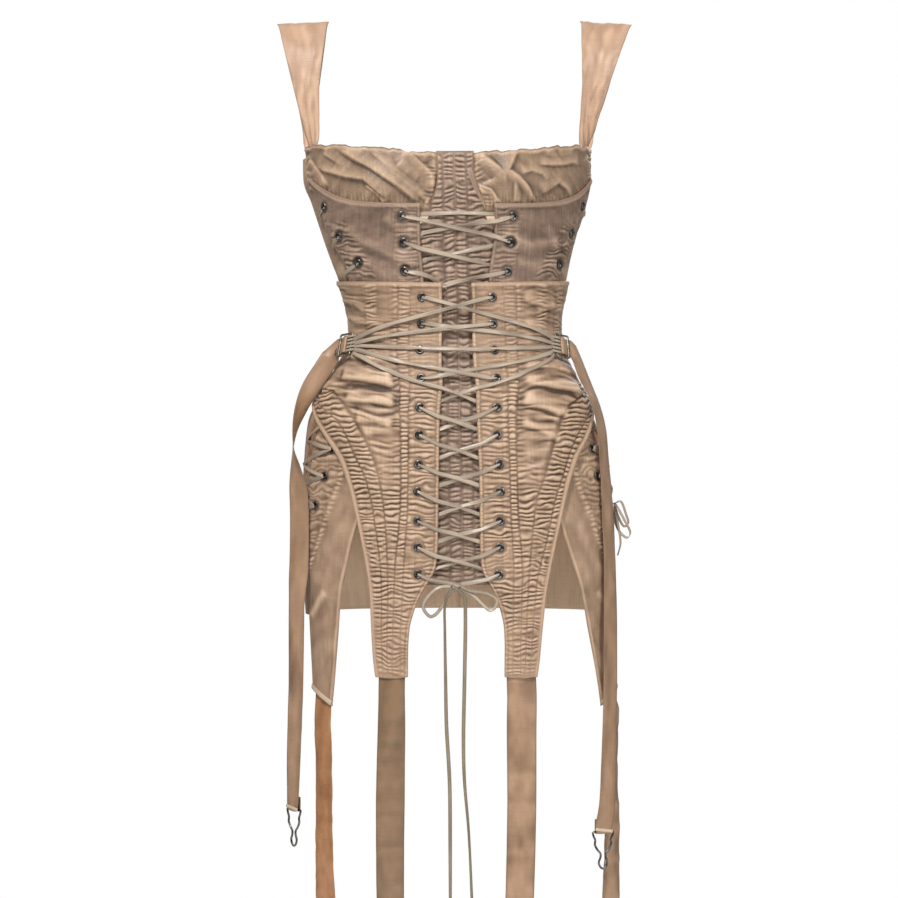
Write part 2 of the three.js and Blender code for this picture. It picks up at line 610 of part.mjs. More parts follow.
function addSlide(seat) {
  const { point, normal, up, across } = slideSeat(seat);
  const turn = new THREE.Matrix4().makeBasis(across, up, normal).setPosition(point);
  const bars = [
    [0, SLIDE.bar, SLIDE.high], [-(SLIDE.wide - SLIDE.bar) / 2, SLIDE.bar, SLIDE.high],
    [(SLIDE.wide - SLIDE.bar) / 2, SLIDE.bar, SLIDE.high],
  ].map(([x, w, h]) => new THREE.BoxGeometry(w, h, SLIDE.deep).translate(x, 0, 0));
  for (const end of [-1, 1]) {
    bars.push(new THREE.BoxGeometry(SLIDE.wide, SLIDE.bar, SLIDE.deep)
      .translate(0, (end * (SLIDE.high - SLIDE.bar)) / 2, 0));
  }
  bars.forEach((bar) => bar.applyMatrix4(turn));
  add(`waist_slide_${sideName(seat.side)}`, union(bars), metalMaterial);
}

// A band that wraps a slide's bar: from the point behind the bar, through the slot, to the front.
function wrapOf(seat, barAt, towards, { wide, thick }, tail) {
  const { point, normal, up, across } = slideSeat(seat);
  const middle = point.clone().addScaledVector(across, barAt);
  const reachOut = SLIDE.bar / 2 + 0.6 + thick / 2;
  const reachUp = SLIDE.deep / 2 + 0.6 + thick / 2;
  return [
    [-towards * 4.6, -reachUp], [(towards * SLIDE.bar) / 2, -reachUp], [towards * reachOut, -reachUp * 0.4],
    [towards * reachOut, reachUp * 0.4], [(towards * SLIDE.bar) / 2, reachUp], [-towards * 5, reachUp],
    [-towards * tail, reachUp * 1.2],
  ].map(([out, lift]) => ({
    point: middle.clone().addScaledVector(across, out).addScaledVector(normal, lift), across: up, wide,
  }));
}

// A lace over the cloth: rows give the signed girth distance, the height and the lift off the figure.
function layLace(rows, step = LACE.step) {
  const { wide } = LACE;
  const stations = [];
  rows.forEach(([u, z, lift], k) => {
    const next = rows[k + 1];
    const run = next ? Math.hypot(next[0] - u, next[1] - z) : 0;
    const pieces = Math.max(1, Math.round(run / step));
    for (let i = 0; i < (next ? pieces : 1); i += 1) {
      const t = i / pieces;
      const [a, b, c] = next ? [mix(u, next[0], t), mix(z, next[1], t), mix(lift, next[2], t)] : [u, z, lift];
      const { point, normal } = onFigure(1, a, b, c);
      stations.push({ point, normal, wide });
    }
  });
  const far = stations.length - 1;
  let last = null;
  stations.forEach((station, k) => {
    const run = stations[Math.min(k + 1, far)].point.clone().sub(stations[Math.max(k - 1, 0)].point);
    run.addScaledVector(station.normal, -run.dot(station.normal));
    const across = station.normal.clone().cross(run);
    station.across = across.length() > 1.5 || !last ? across.normalize() : last.clone();
    last = station.across;
  });
  return strip(stations, LACE.thick);
}

// One lacing strand from the front of an eyelet, down behind the other panel and up through its eyelet.
function crossRows(from, to, side, edge, farEdge, high, low, over) {
  return [
    [side * from.u, from.z, high], [side * (edge + 1), mix(from.z, to.z, 0.32), high],
    [0, mix(from.z, to.z, 0.52), mix(high, low, 0.5) + over], [-side * (farEdge - 3), mix(from.z, to.z, 0.75), low],
    [-side * (to.u - 1), to.z, low], [-side * to.u, to.z, low + 0.2],
  ];
}

function addBodiceLace() {
  const high = BODICE_TOP + EYELET.rise + 0.7;
  const low = BODICE_LIFT - 0.95;
  const [first, second, third] = BODICE_EYELETS;
  const b1 = read(BODICE_INNER, 'z', 'u', -220);
  const b2 = read(BODICE_INNER, 'z', 'u', -255);
  const one = layLace([
    [6, first.z + 2, low], [-first.u, first.z, low], [-first.u, first.z, high], [-b1 - 1, first.z - 4, high],
    [0, -229, high], [b1 + 1, -237, high], [second.u, second.z, high], [second.u, second.z, low],
    [b2 - 4, -248, low], [-b2 + 4, -262, low], [-third.u, third.z, low], [-third.u, third.z, high],
    [-b2 + 1, -276.6, high - 0.5], [-27, -280, 4.8], [-23, -283.5, 3.5], [-10, -291, 3.5],
  ]);
  const two = layLace([
    [-6, first.z + 2, low], [first.u, first.z, low], [first.u, first.z, high], [b1 + 1, first.z - 5, high],
    [0, -227, high - 1.2], [-b1 + 4, -234, low], [-second.u, second.z, low], [-second.u, second.z, high],
    [-b2 - 1, -250, high], [b2 - 4, -267, low], [third.u, third.z, low], [third.u, third.z, high],
    [b2 + 1, -277.4, high - 0.5], [26, -279.5, 4.8], [0, -285, 3.9], [-26, -293, 3.5],
  ]);
  add('lace_bodice', union([one, two]), laceMaterial);
}

// The knot and bow at the foot of the lacing: places in X and Z, with Y off the knot.
const KNOT = { u: -1.9, z: -604, wide: 9.5, high: 8, deep: 4.4 };
const LOOPS = {
  left: [[-5, -1, -604], [-18.4, -2.6, -606], [-32.4, -2.2, -621], [-32.9, -0.6, -628], [-26, 1.8, -636],
    [-20.6, 2.8, -634], [-13, 3.6, -624], [-3, 1.6, -605]],
  right: [[5, -1, -604], [15, -3, -608.5], [33, -4.6, -611.5], [43.2, -4.6, -618], [42, -4.2, -625.3],
    [36.5, -3.6, -629], [29.5, -2.6, -624], [18.5, -1, -613.5], [4, 0.4, -605]],
};
const TAILS = {
  left: [[-1.1, -1.6, -608.0], [-8.2, -2, -614.5], [-10.8, -1.4, -625.3], [-10.8, -1, -650], [-10, 0, -703],
    [-9.1, 0, -749.5], [-5.9, 0.6, -807.8], [-5.2, 1, -880], [-5.1, 1, HANG_END]],
  right: [[2.9, -1.6, -607.9], [9.6, -1.6, -615.5], [10.6, -0.6, -634], [9.7, 0.2, -703], [8.6, 1, -767.9],
    [9.7, 1, -807.8], [14, 0.6, -859.7], [17.9, 0, -946], [19, 0, HANG_END]],
};

const knotSeat = () => standing(1, KNOT.u, KNOT.z, LACE_LIFT);

function loopStrip(rows, wide, count) {
  const { point } = knotSeat();
  const turned = rows.map(([x, y, z]) => ({ at: [x, point.y + y, z], across: [0, 1, 0], wide }));
  turned.forEach((row, k) => {
    const a = rows[Math.max(k - 1, 0)];
    const b = rows[Math.min(k + 1, rows.length - 1)];
    const way = new THREE.Vector3(b[0] - a[0], 0, b[2] - a[2]).normalize();
    row.across = [way.z * 0.75, 0.66, -way.x * 0.75];
  });
  return strip(smooth(turned, count), LACE.thick);
}

function addGirdleLace() {
  const low = GIRDLE_LIFT - 1.5;
  const rows = GIRDLE_EYELETS;
  const parts = [];
  const edge = (z) => read(GIRDLE_INNER, 'z', 'u', z);
  for (const seat of SLIDES) {
    const { side } = seat;
    const high = LACE_LIFT + (side < 0 ? LACE_OVER : 0);
    const entry = (k) => [side * (seat.u - 8.9), seat.z + 8.4 - 4.2 * k, SLIDE.lift - 4.0];
    for (let k = 0; k < FAN_ROWS; k += 1) {
      const spot = rows[k];
      parts.push(layLace([
        entry(k), [side * 99, mix(entry(k)[1], spot.z, 0.1), high + 1.4],
        [side * 84, mix(entry(k)[1], spot.z, 0.24), high + 0.7], [side * 62, mix(entry(k)[1], spot.z, 0.42), high + 0.3],
        [-side * (spot.u - 6), spot.z - 0.5, high], [-side * spot.u, spot.z, high], [-side * spot.u, spot.z, low],
      ], LACE.fanStep));
      if (k % 2 === 0) {
        const next = rows[k + 1];
        parts.push(layLace([[-side * spot.u, spot.z + 1, low + 0.1], [-side * next.u, next.z - 1, low + 0.1]]));
      }
    }
    const strand = [entry(FAN_ROWS), [side * 99, -369, high + 1.4], [side * 84, -376, high + 0.7], [side * 62, -386, high + 0.3],
      [side * 40, -394, high]];
    strand.push([side * (edge(-396) + 1), -399, high], [0, -405, mix(high, low, 0.5) - side * 0.2]);
    strand.push([-side * (edge(-411) - 3), -411, low], [-side * (rows[4].u - 1), rows[4].z, low]);
    let at = -side;
    strand.push([at * rows[4].u, rows[4].z, low], [at * rows[4].u, rows[4].z, LACE_LIFT]);
    parts.push(layLace(strand));
    for (let k = 4; k < rows.length - 1; k += 1) {
      const to = rows[k + 1];
      const z = rows[k].z;
      const legs = crossRows(rows[k], to, at, edge(z - 8), edge(z - 20), LACE_LIFT, low, -at * 0.45);
      legs.pop();
      legs.push([-at * to.u, to.z, low], [-at * to.u, to.z, LACE_LIFT]);
      parts.push(layLace(legs));
      at = -at;
    }
    const end = rows[rows.length - 1];
    parts.push(layLace([[at * end.u, end.z, LACE_LIFT], [at * 31, end.z - 5, LACE_LIFT], [at * 2, KNOT.z + 1, LACE_LIFT]]));
    const wrap = wrapOf(seat, -side * ((SLIDE.wide - SLIDE.bar) / 2), side, { wide: 20, thick: LACE.thick }, 5.4);
    parts.push(strip(wrap, LACE.thick));
    const seatAt = slideSeat(seat);
    const turn = new THREE.Matrix4().makeBasis(seatAt.across, seatAt.up, seatAt.normal).setPosition(seatAt.point);
    const tie = new THREE.BoxGeometry(1.6, 20, SLIDE.deep + 2.05).translate(-side * (SLIDE.wide / 2 + 2.7), 0, 0);
    parts.push(tie.applyMatrix4(turn));
  }
  const { point } = knotSeat();
  const knot = new THREE.SphereGeometry(0.5, 7, 5).scale(KNOT.wide, KNOT.deep, KNOT.high);
  parts.push(knot.translate(point.x, point.y, point.z));
  parts.push(loopStrip(LOOPS.left, LACE.wide, 13), loopStrip(LOOPS.right, LACE.wide, 13));
  add('lace_girdle', union(parts), laceMaterial);
  for (const name of ['left', 'right']) {
    add(`lace_tail_${name}`, loopStrip(TAILS[name], LACE.wide, 11), laceMaterial);
  }
}

// Each suspender strap runs through its slide, over the hip and down to a folded end that holds the clip.
const SUSPENDER_LEFT = [
  { at: [-133, -36, -363], across: [-0.3, 0.1, 0.93] }, { at: [-142, -37, -377], across: [-0.6, -0.1, 0.78] },
  { at: [-153.5, -40, -395], across: [-0.75, -0.3, 0.55] }, { at: [-163.5, -43, -416], across: [-0.6, -0.75, 0.25] },
  { at: [-170.5, -45, -440], across: [-0.2, -0.97, 0.1] }, { at: [-172.3, -46, -462], across: [0.1, -1, 0] },
  { at: [-170, -47, -483], across: [0.6, -0.8, 0] }, { at: [-166.3, -48, -512], across: [1, -0.2, 0] },
  { at: [-166, -48, -580], across: [1, 0, 0] }, { at: [-168.5, -48, -624], across: [0.85, -0.5, 0] },
  { at: [-169.5, -48, -710], across: [0.8, -0.6, 0] }, { at: [-172, -48, -800], across: [0.7, -0.7, 0] },
  { at: [-173, -48, -838], across: [0.62, -0.78, 0] },
];
const SUSPENDER_RIGHT = [
  { at: [130, -41, -365], across: [0.25, 0.75, 0.6] }, { at: [137, -42, -384], across: [0.5, 0.83, 0.2] },
  { at: [149, -45, -411], across: [0.45, 0.88, 0.05] }, { at: [156, -47, -440], across: [0.5, 0.86, 0] },
  { at: [158.5, -48, -470], across: [0.5, 0.85, 0] }, { at: [161.5, -49, -516], across: [0.6, 0.8, 0] },
  { at: [163.5, -51, -560], across: [0.62, 0.78, 0] }, { at: [165, -54, -624], across: [0.7, 0.7, 0] },
  { at: [163.8, -60, -743], across: [0.76, 0.66, 0] }, { at: [161, -64, -835], across: [0.85, 0.5, 0] },
  { at: [157.4, -64.5, -860], across: [0.9, 0.4, 0] },
];
const FOLD = { radius: 2.0, back: 13 };
const CLIP_LINE = [
  [-8.5, 0], [8.5, 0], [11.9, -0.7], [11.7, -5], [7.4, -14], [2.2, -22], [1.9, -27], [3.8, -32], [3, -37], [0, -39.5],
  [-3, -37], [-3.8, -32], [-1.9, -27], [-2.2, -22], [-7.4, -14], [-11.7, -5], [-11.9, -0.7],
];

function addSuspender(seat, rows) {
  const { side } = seat;
  const name = sideName(side);
  const wrap = wrapOf(seat, side * ((SLIDE.wide - SLIDE.bar) / 2), -side, SUSPENDER, 6);
  const last = rows[rows.length - 1];
  const across = vector(last.across).normalize();
  const face = new THREE.Vector3(0, 0, -1).cross(across).normalize();
  const at = (forward, down) => vector(last.at).addScaledVector(face, forward).add(new THREE.Vector3(0, 0, -down));
  const line = smooth(rows.map((row) => ({ ...row, wide: SUSPENDER.wide })), 13);
  const r = FOLD.radius;
  const fold = [[0, 6], [-r * 0.3, 6 + r * 0.8], [-r, 6 + r], [-r * 1.7, 6 + r * 0.8], [-r * 2, 6], [-r * 2, 6 - FOLD.back]]
    .map(([forward, down]) => ({ point: at(forward, down), across, wide: SUSPENDER.wide - 2.5 }));
  add(`suspender_${name}`, strip([...wrap, ...line, ...fold], SUSPENDER.thick), satinMaterial);
  const bar = at(-r, 6);
  const curve = new THREE.CatmullRomCurve3(
    CLIP_LINE.map(([out, up]) => bar.clone().addScaledVector(across, out).add(new THREE.Vector3(0, 0, up))),
    true, 'catmullrom', 0.3);
  const wire = new THREE.TubeGeometry(curve, 20, WIRE.radius, WIRE.sides, true);
  add(`suspender_clip_${name}`, geometryFrom(solidOf(wire)), metalMaterial);
}

// The lacing over the open slit at each hip.
function addHipLace(side) {
  const parts = [];
  const lift = CLOTH + 1.3;
  HIP_LACING.forEach((row, k) => {
    parts.push(layLace([[side * row.front, row.z, lift], [side * row.back, row.z - 12, lift]], LACE.hipStep));
    const next = HIP_LACING[k + 1];
    if (next) parts.push(layLace([[side * row.back, row.z - 12, lift], [side * next.front, next.z, lift]], LACE.hipStep));
  });
  add(`lace_hip_${sideName(side)}`, union(parts), laceMaterial);
}

addCentreFront();
for (const side of [-1, 1]) {
  addCup(side);
  addBodiceFront(side);
  addGirdleFront(side);
  addSideHip(side);
  addBack(side);
  addStrap(side);
  BODICE_EYELETS.forEach((spot, k) => addEyelet(`eyelet_bodice_${sideName(side)}_${k + 1}`, side, spot, BODICE_LIFT));
  GIRDLE_EYELETS.forEach((spot, k) => addEyelet(`eyelet_girdle_${sideName(side)}_${k + 1}`, side, spot, GIRDLE_LIFT));
  addHipLace(side);
}
SLIDES.forEach(addSlide);
addBodiceLace();
addGirdleLace();
addSuspender(SLIDES[0], SUSPENDER_LEFT);
addSuspender(SLIDES[1], SUSPENDER_RIGHT);
addRibbon('garter_ribbon_front_left', -1, 67, -684, GIRDLE_LIFT - 1.9, [
  { x: -66.6, z: -720, wide: 28 }, { x: -67, z: -830, wide: 30, turn: 0.05 }, { x: -68, z: HANG_END, wide: 29, turn: 0.6 }]);
addRibbon('garter_ribbon_front_right', 1, 67, -684, GIRDLE_LIFT - 1.9, [
  { x: 70, z: -720, wide: 31 }, { x: 69, z: -830, wide: 30, turn: -0.1 }, { x: 65.6, z: HANG_END, wide: 30, turn: 0.1 }]);
addRibbon('garter_ribbon_side_left', -1, 156, -718, -3.6, [
  { x: -140.6, z: -750, wide: 30 }, { x: -138.5, z: -860, wide: 30, turn: -0.8 }, { x: -135.8, z: HANG_END, wide: 30, turn: -0.72 }]);
addRibbon('garter_ribbon_side_right', 1, 180, -706, -5.2, [
  { x: 168.2, z: -740, wide: 30 }, { x: 167, z: -860, wide: 30, turn: 0.95 }, { x: 163.6, z: HANG_END, wide: 30, turn: 1.0 }]);

export default garment;
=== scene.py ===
"""The looks of a laced corset dress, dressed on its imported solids.

Sizes in the classes are millimetres. Meshes are made in metres, in the frame of the solids: the
front faces -Y, +Z is up, and the origin lies between the tops of the two shoulder straps.
"""
from __future__ import annotations

import logging
import math
from collections.abc import Callable
from dataclasses import dataclass, field
from enum import Enum

import bpy
import numpy as np
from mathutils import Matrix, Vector


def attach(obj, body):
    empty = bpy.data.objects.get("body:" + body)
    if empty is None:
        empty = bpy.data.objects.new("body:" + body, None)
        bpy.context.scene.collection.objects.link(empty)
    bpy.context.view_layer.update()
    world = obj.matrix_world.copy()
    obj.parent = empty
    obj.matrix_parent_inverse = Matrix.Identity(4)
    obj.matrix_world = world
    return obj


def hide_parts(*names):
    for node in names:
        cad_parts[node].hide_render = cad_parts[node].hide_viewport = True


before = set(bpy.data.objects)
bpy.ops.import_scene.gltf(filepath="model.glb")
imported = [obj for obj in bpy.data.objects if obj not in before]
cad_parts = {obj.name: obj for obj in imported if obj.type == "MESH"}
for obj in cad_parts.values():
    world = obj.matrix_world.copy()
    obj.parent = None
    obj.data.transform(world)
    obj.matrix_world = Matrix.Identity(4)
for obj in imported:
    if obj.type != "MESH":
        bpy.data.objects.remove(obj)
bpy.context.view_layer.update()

log = logging.getLogger("dress")
MM = 0.001
# One wall of cloth, and the room between two pieces at a seam.
CLOTH = 1.2
SEAM = 0.35
# How far the under side of each layer stands off the form.
EDGE_LIFT = CLOTH + 6 * SEAM
BODICE_LIFT = 3.8
GIRDLE_LIFT = 6.2
EYELET_RISE = 1.15
EYELET_HOLE = 3.0
HOLE_DEPTH = 0.9
LACE_WIDE = 3.7
LACE_THICK = 0.7
LACE_STEP = 3.0
LACE_LIFT = GIRDLE_LIFT + CLOTH + EYELET_RISE + 0.75
CUP_TUCK = 9.0
# Where everything that hangs is cut off by the photograph's lower edge.
HANG_END = -992.0
PHOTO_PIXELS = 898

Grid = np.ndarray
Numbers = float | np.ndarray
Spots = tuple[tuple[float, float], ...]
Rows = tuple[tuple[float, float, float], ...]
Seat = tuple[np.ndarray, np.ndarray, np.ndarray, np.ndarray]


class Side(Enum):
    """The side of the dress, as the photograph shows it."""

    LEFT = -1
    RIGHT = 1

    @property
    def label(self) -> str:
        """The side's word in the names of pieces."""
        return self.name.lower()


@dataclass(frozen=True)
class SlideForm:
    """A waist slide: a flat frame with a bar through its middle."""

    wide: float = 17.0
    tall: float = 28.0
    thick: float = 1.4
    bar: float = 2.2
    corner: float = 2.6

    @property
    def reach(self) -> float:
        """From its middle to the middle of an outer bar."""
        return (self.wide - self.bar) / 2


SLIDE = SlideForm()


class Slot(Enum):
    """The record's material slots."""

    CLOTH = "dress_cloth"
    SATIN = "satin_ribbon"
    LACE = "lacing_cord"
    METAL = "nickel_metal"


def mix(a: Numbers, b: Numbers, t: Numbers) -> Numbers:
    """The value between a and b at share t."""
    return a + (b - a) * t


def ease(start: float, end: float, v: Numbers) -> Numbers:
    """A smooth step of v from 0 at start to 1 at end."""
    t = np.clip((np.asarray(v, float) - start) / (end - start), 0, 1)
    return t * t * (3 - 2 * t)


def ridge(distance: Numbers, wide: Numbers) -> Numbers:
    """A bell-shaped swell: 1 where the distance is 0, falling away over so wide a stretch."""
    return np.exp(-((distance / wide) ** 2))


def unit(vectors: np.ndarray) -> np.ndarray:
    """The same vectors at length 1."""
    return vectors / (np.linalg.norm(vectors, axis=-1, keepdims=True) + 1e-9)


def linked(name: str, data: bpy.types.ID) -> bpy.types.Object:
    """A new object in the scene that holds this data."""
    thing = bpy.data.objects.new(name, data)
    bpy.context.scene.collection.objects.link(thing)
    return thing


def shade_smooth(mesh: bpy.types.Mesh) -> None:
    """Shades every face of the mesh smoothly."""
    mesh.polygons.foreach_set("use_smooth", [True] * len(mesh.polygons))


@dataclass(frozen=True)
class Line:
    """A smooth line through known points, rising or falling in its key.

    Args:
        points: pairs of key and value.
    """

    points: tuple[tuple[float, float], ...]

    def at(self, key: Numbers) -> Numbers:
        """The line's values by a monotone cubic.

        Args:
            key: one place or an array of them.

        Returns:
            The values, in the same shape.
        """
        rows = sorted(self.points)
        x = np.array([r[0] for r in rows], float)
        y = np.array([r[1] for r in rows], float)
        h = np.diff(x)
        d = np.diff(y) / h
        m = np.zeros(len(x))
        m[0], m[-1] = d[0], d[-1]
        for k in range(1, len(x) - 1):
            if d[k - 1] * d[k] > 0:
                a, b = 2 * h[k] + h[k - 1], h[k] + 2 * h[k - 1]
                m[k] = (a + b) / (a / d[k - 1] + b / d[k])
        v = np.clip(np.asarray(key, float), x[0], x[-1])
        i = np.clip(np.searchsorted(x, v) - 1, 0, len(x) - 2)
        t = (v - x[i]) / h[i]
        return ((1 + 2 * t) * (1 - t) ** 2 * y[i] + t * (1 - t) ** 2 * h[i] * m[i]
                + t * t * (3 - 2 * t) * y[i + 1] + t * t * (t - 1) * h[i] * m[i + 1])


class Figure:
    """The general form that the dress is cut for, read by girth distance and height."""

    ROUND = 2.35
    CUP = (68.0, -182.0, 15.0, 40.0, 40.0)
    SECTIONS = (
        (-100, 149, 80, 80, -9, 8.5), (-130, 154, 88, 86, -9, 8.5), (-170, 154, 94, 90, -8.5, 8.7),
        (-195, 147, 94, 89, -7, 9), (-235, 134.5, 90, 85, -6, 8), (-280, 121, 85, 79, -3, 4),
        (-305, 114, 82, 76, -1, 3), (-330, 111, 80, 75, 0, 2), (-350, 112.5, 82, 77, 0, 2),
        (-375, 124, 88, 85, -1.5, 4), (-400, 138, 94, 94, -3, 7), (-425, 151, 98, 101, -4, 7),
        (-455, 159, 100, 106, -1, 4.5), (-495, 164, 101, 109, 1.5, 2.5), (-540, 167, 101, 109, 3.5, 0.5),
        (-590, 167, 101, 107, 4.5, -1), (-640, 165, 101, 105, 5, -3), (-745, 168, 101, 104, 11, -10),
    )
    REACH = 600

    def __init__(self) -> None:
        """Lays out every section once, by even steps of girth."""
        heights, *columns = zip(*self.SECTIONS)
        names = ("half", "front", "back", "shift", "centre")
        self.lines = {n: Line(tuple(zip(heights, c))) for n, c in zip(names, columns)}
        self.low, self.high = -765, -60
        z = np.arange(self.low, self.high + 1.0)
        angle = np.linspace(-np.pi, np.pi, 721)
        c, s = np.cos(angle)[None], np.sin(angle)[None]
        half, front, back, shift = (self.lines[n].at(z)[:, None] for n in names[:4])
        depth = np.where(c > 0, front, back)
        reach = (np.abs(s / half) ** self.ROUND + np.abs(c / depth) ** self.ROUND) ** (-1 / self.ROUND)
        px = reach * s
        cx, cz, out, wide, tall = self.CUP
        bulge = out * np.exp(-((np.abs(px) - cx) / wide) ** 2 - ((z[:, None] - cz) / tall) ** 2)
        x, y = px + shift, -reach * c - bulge * np.clip(3 * c, 0, 1)
        girth = np.concatenate([np.zeros((len(z), 1)), np.cumsum(np.hypot(np.diff(x), np.diff(y)), 1)], 1)
        girth -= girth[:, 360:361]
        steps = np.arange(-self.REACH, self.REACH + 1.0)
        self.grid = np.stack([
            np.stack([np.interp(steps, girth[k], x[k]), np.interp(steps, girth[k], y[k])], -1)
            for k in range(len(z))
        ])
        self.ends = girth[:, [0, -1]]

    def point(self, s: Numbers, z: Numbers) -> Grid:
        """Points on the form.

        Args:
            s: signed girth distances from the front middle.
            z: heights.

        Returns:
            An array of points, one for each pair.
        """
        s, z = np.broadcast_arrays(np.asarray(s, float), np.asarray(z, float))
        a = np.clip(s + self.REACH, 0, 2 * self.REACH - 0.001)
        b = np.clip(z - self.low, 0, self.high - self.low - 0.001)
        i, j = a.astype(int), b.astype(int)
        fa, fb = (a - i)[..., None], (b - j)[..., None]
        g = self.grid
        xy = (g[j, i] * (1 - fa) + g[j, i + 1] * fa) * (1 - fb) \
            + (g[j + 1, i] * (1 - fa) + g[j + 1, i + 1] * fa) * fb
        return np.concatenate([xy, z[..., None]], -1)

    def place(self, side: int, u: Numbers, z: Numbers, lift: Numbers = 0.0) -> tuple[Grid, Grid]:
        """Points off the form and its outward normals there.

        Args:
            side: 1 on the right and -1 on the left.
            u: girth distances from the dress's centre line.
            z: heights.
            lift: distances off the form.

        Returns:
            The points and the normals.
        """
        u, z, lift = np.broadcast_arrays(*(np.asarray(v, float) for v in (u, z, lift)))
        s = self.lines["centre"].at(z) + side * u
        step = 1.5
        round_ = self.point(s + step, z) - self.point(s - step, z)
        up = self.point(s, z + step) - self.point(s, z - step)
        up[..., 2] = 2 * step
        normal = unit(np.cross(round_, up))
        return self.point(s, z) + normal * lift[..., None], normal

    def half_girth(self, side: int, z: Numbers) -> Numbers:
        """Girth from the dress's centre line round to the centre back, at each height."""
        z = np.asarray(z, float)
        at = np.clip(z - self.low, 0, self.high - self.low)
        ends = np.interp(at, np.arange(len(self.ends)), self.ends[:, 1 if side > 0 else 0])
        return side * (ends - self.lines["centre"].at(z))

    def stand(self, side: int, u: float, z: float, lift: float, lean: float = 0.0) -> Seat:
        """The point, outward normal, upward and sideways directions of a thing that stands on the cloth."""
        point, normal = self.place(side, u, z, lift)
        up = unit(np.array([0, 0, 1.0]) - normal * normal[2])
        c, s = math.cos(lean), math.sin(lean)
        up = up * c + np.cross(normal, up) * s
        return point, normal, up, np.cross(up, normal)


class Grain:
    """Smooth value noise on a plane, the same on every run."""

    def __init__(self, seed: int) -> None:
        """Fills the table of values from a seed."""
        self.table = np.random.default_rng(seed).uniform(-1, 1, (256, 256))

    def at(self, x: Numbers, y: Numbers) -> Numbers:
        """Noise from -1 to 1 with one swing for each unit of x and y."""
        x, y = np.broadcast_arrays(np.asarray(x, float), np.asarray(y, float))
        i, j = np.floor(x).astype(int), np.floor(y).astype(int)
        fx, fy = x - i, y - j
        fx, fy = fx * fx * (3 - 2 * fx), fy * fy * (3 - 2 * fy)
        t = self.table
        i0, j0, i1, j1 = i % 256, j % 256, (i + 1) % 256, (j + 1) % 256
        return mix(mix(t[i0, j0], t[i1, j0], fx), mix(t[i0, j1], t[i1, j1], fx), fy)


FIGURE = Figure()
GRAIN = Grain(461)


@dataclass
class Surface:
    """A closed mesh in the making, in millimetres, with what its finish reads at each point."""

    verts: np.ndarray
    faces: list
    uv: np.ndarray
    fold: np.ndarray
    edge: np.ndarray

    @staticmethod
    def joined(parts: list["Surface"]) -> "Surface":
        """All the parts as one surface."""
        faces, start = [], 0
        for part in parts:
            faces += [tuple(i + start for i in f) for f in part.faces]
            start += len(part.verts)
        verts, uv, fold, edge = (np.concatenate([getattr(part, key) for part in parts])
                                 for key in ("verts", "uv", "fold", "edge"))
        return Surface(verts, faces, uv, fold, edge)

    def as_object(self, name: str, finish: bpy.types.Material) -> bpy.types.Object:
        """A smooth-shaded object of this surface.

        Args:
            name: the piece's name.
            finish: its material.

        Returns:
            The new object, at the origin with its place in its mesh.
        """
        mesh = bpy.data.meshes.new(name)
        mesh.from_pydata((self.verts * MM).tolist(), [], self.faces)
        loops = np.empty(len(mesh.loops), np.int32)
        mesh.loops.foreach_get("vertex_index", loops)
        layer = mesh.uv_layers.new(name="Cloth")
        layer.data.foreach_set("uv", (self.uv[loops] * 0.01).astype(np.float32).ravel())
        for key, values in (("fold", self.fold), ("edge", self.edge)):
            mesh.attributes.new(key, "FLOAT", "POINT").data.foreach_set("value", values.astype(np.float32))
        shade_smooth(mesh)
        mesh.materials.append(finish)
        mesh.update()
        return linked(name, mesh)


def shell(outer: np.ndarray, inner: np.ndarray, uv: np.ndarray, fold: np.ndarray, edge: np.ndarray,
          inside_light: float | None = None) -> Surface:
    """A closed cloth wall between two grids, with a rounded rim.

    Args:
        outer: points of the outer face, rows by columns.
        inner: points of the inner face, the same rows and columns.
        uv: cloth coordinates in millimetres.
        fold: 0 in a valley to 1 on a crest.
        edge: 1 along seams and hems.
        inside_light: the fold value of the whole inner face, where it isn't the outer one's.

    Returns:
        The closed surface.
    """
    rows, cols = outer.shape[:2]
    count = rows * cols
    index = np.arange(count).reshape(rows, cols)
    p, q, s, t = index[:-1, :-1], index[:-1, 1:], index[1:, 1:], index[1:, :-1]
    quads = np.stack([p, q, s, t], -1).reshape(-1, 4)
    faces = [tuple(f) for f in quads.tolist()] + [tuple(f) for f in (quads[:, ::-1] + count).tolist()]
    loop = [(0, c) for c in range(cols - 1)] + [(r, cols - 1) for r in range(rows - 1)]
    loop += [(rows - 1, c) for c in range(cols - 1, 0, -1)] + [(r, 0) for r in range(rows - 1, 0, -1)]
    at = np.array(loop)
    rim_out, rim_in = outer[at[:, 0], at[:, 1]], inner[at[:, 0], at[:, 1]]
    within = outer[np.clip(at[:, 0], 1, rows - 2), np.clip(at[:, 1], 1, cols - 2)]
    away = unit(rim_out - within)
    thick = np.linalg.norm(rim_out - rim_in, axis=1, keepdims=True)
    middle = (rim_out + rim_in) / 2 + away * thick * 0.3
    ids = index[at[:, 0], at[:, 1]].tolist()
    for k, a in enumerate(ids):
        n = (k + 1) % len(ids)
        b, ma, mb = ids[n], 2 * count + k, 2 * count + n
        faces += [(b, a, ma, mb), (mb, ma, a + count, b + count)]
    verts = np.concatenate([outer.reshape(-1, 3), inner.reshape(-1, 3), middle])
    a, b, c = (outer[rows // 2, cols // 2], outer[rows // 2, cols // 2 + 1], outer[rows // 2 + 1, cols // 2])
    if np.dot(np.cross(b - a, c - a), a - inner[rows // 2, cols // 2]) < 0:
        faces = [f[::-1] for f in faces]

    def spread(values: np.ndarray) -> np.ndarray:
        """A value for each point of both faces and the rim."""
        flat = values.reshape(count, -1)
        both = np.concatenate([flat, flat, flat[ids]])
        return both if values.ndim == 3 else both[:, 0]

    folds = spread(fold)
    # The whole inner face can take one fold value that picks a lighter colour: painted light on a face in shade.
    if inside_light is not None:
        folds[count:2 * count] = inside_light
    return Surface(verts, faces, spread(uv), folds, spread(edge))


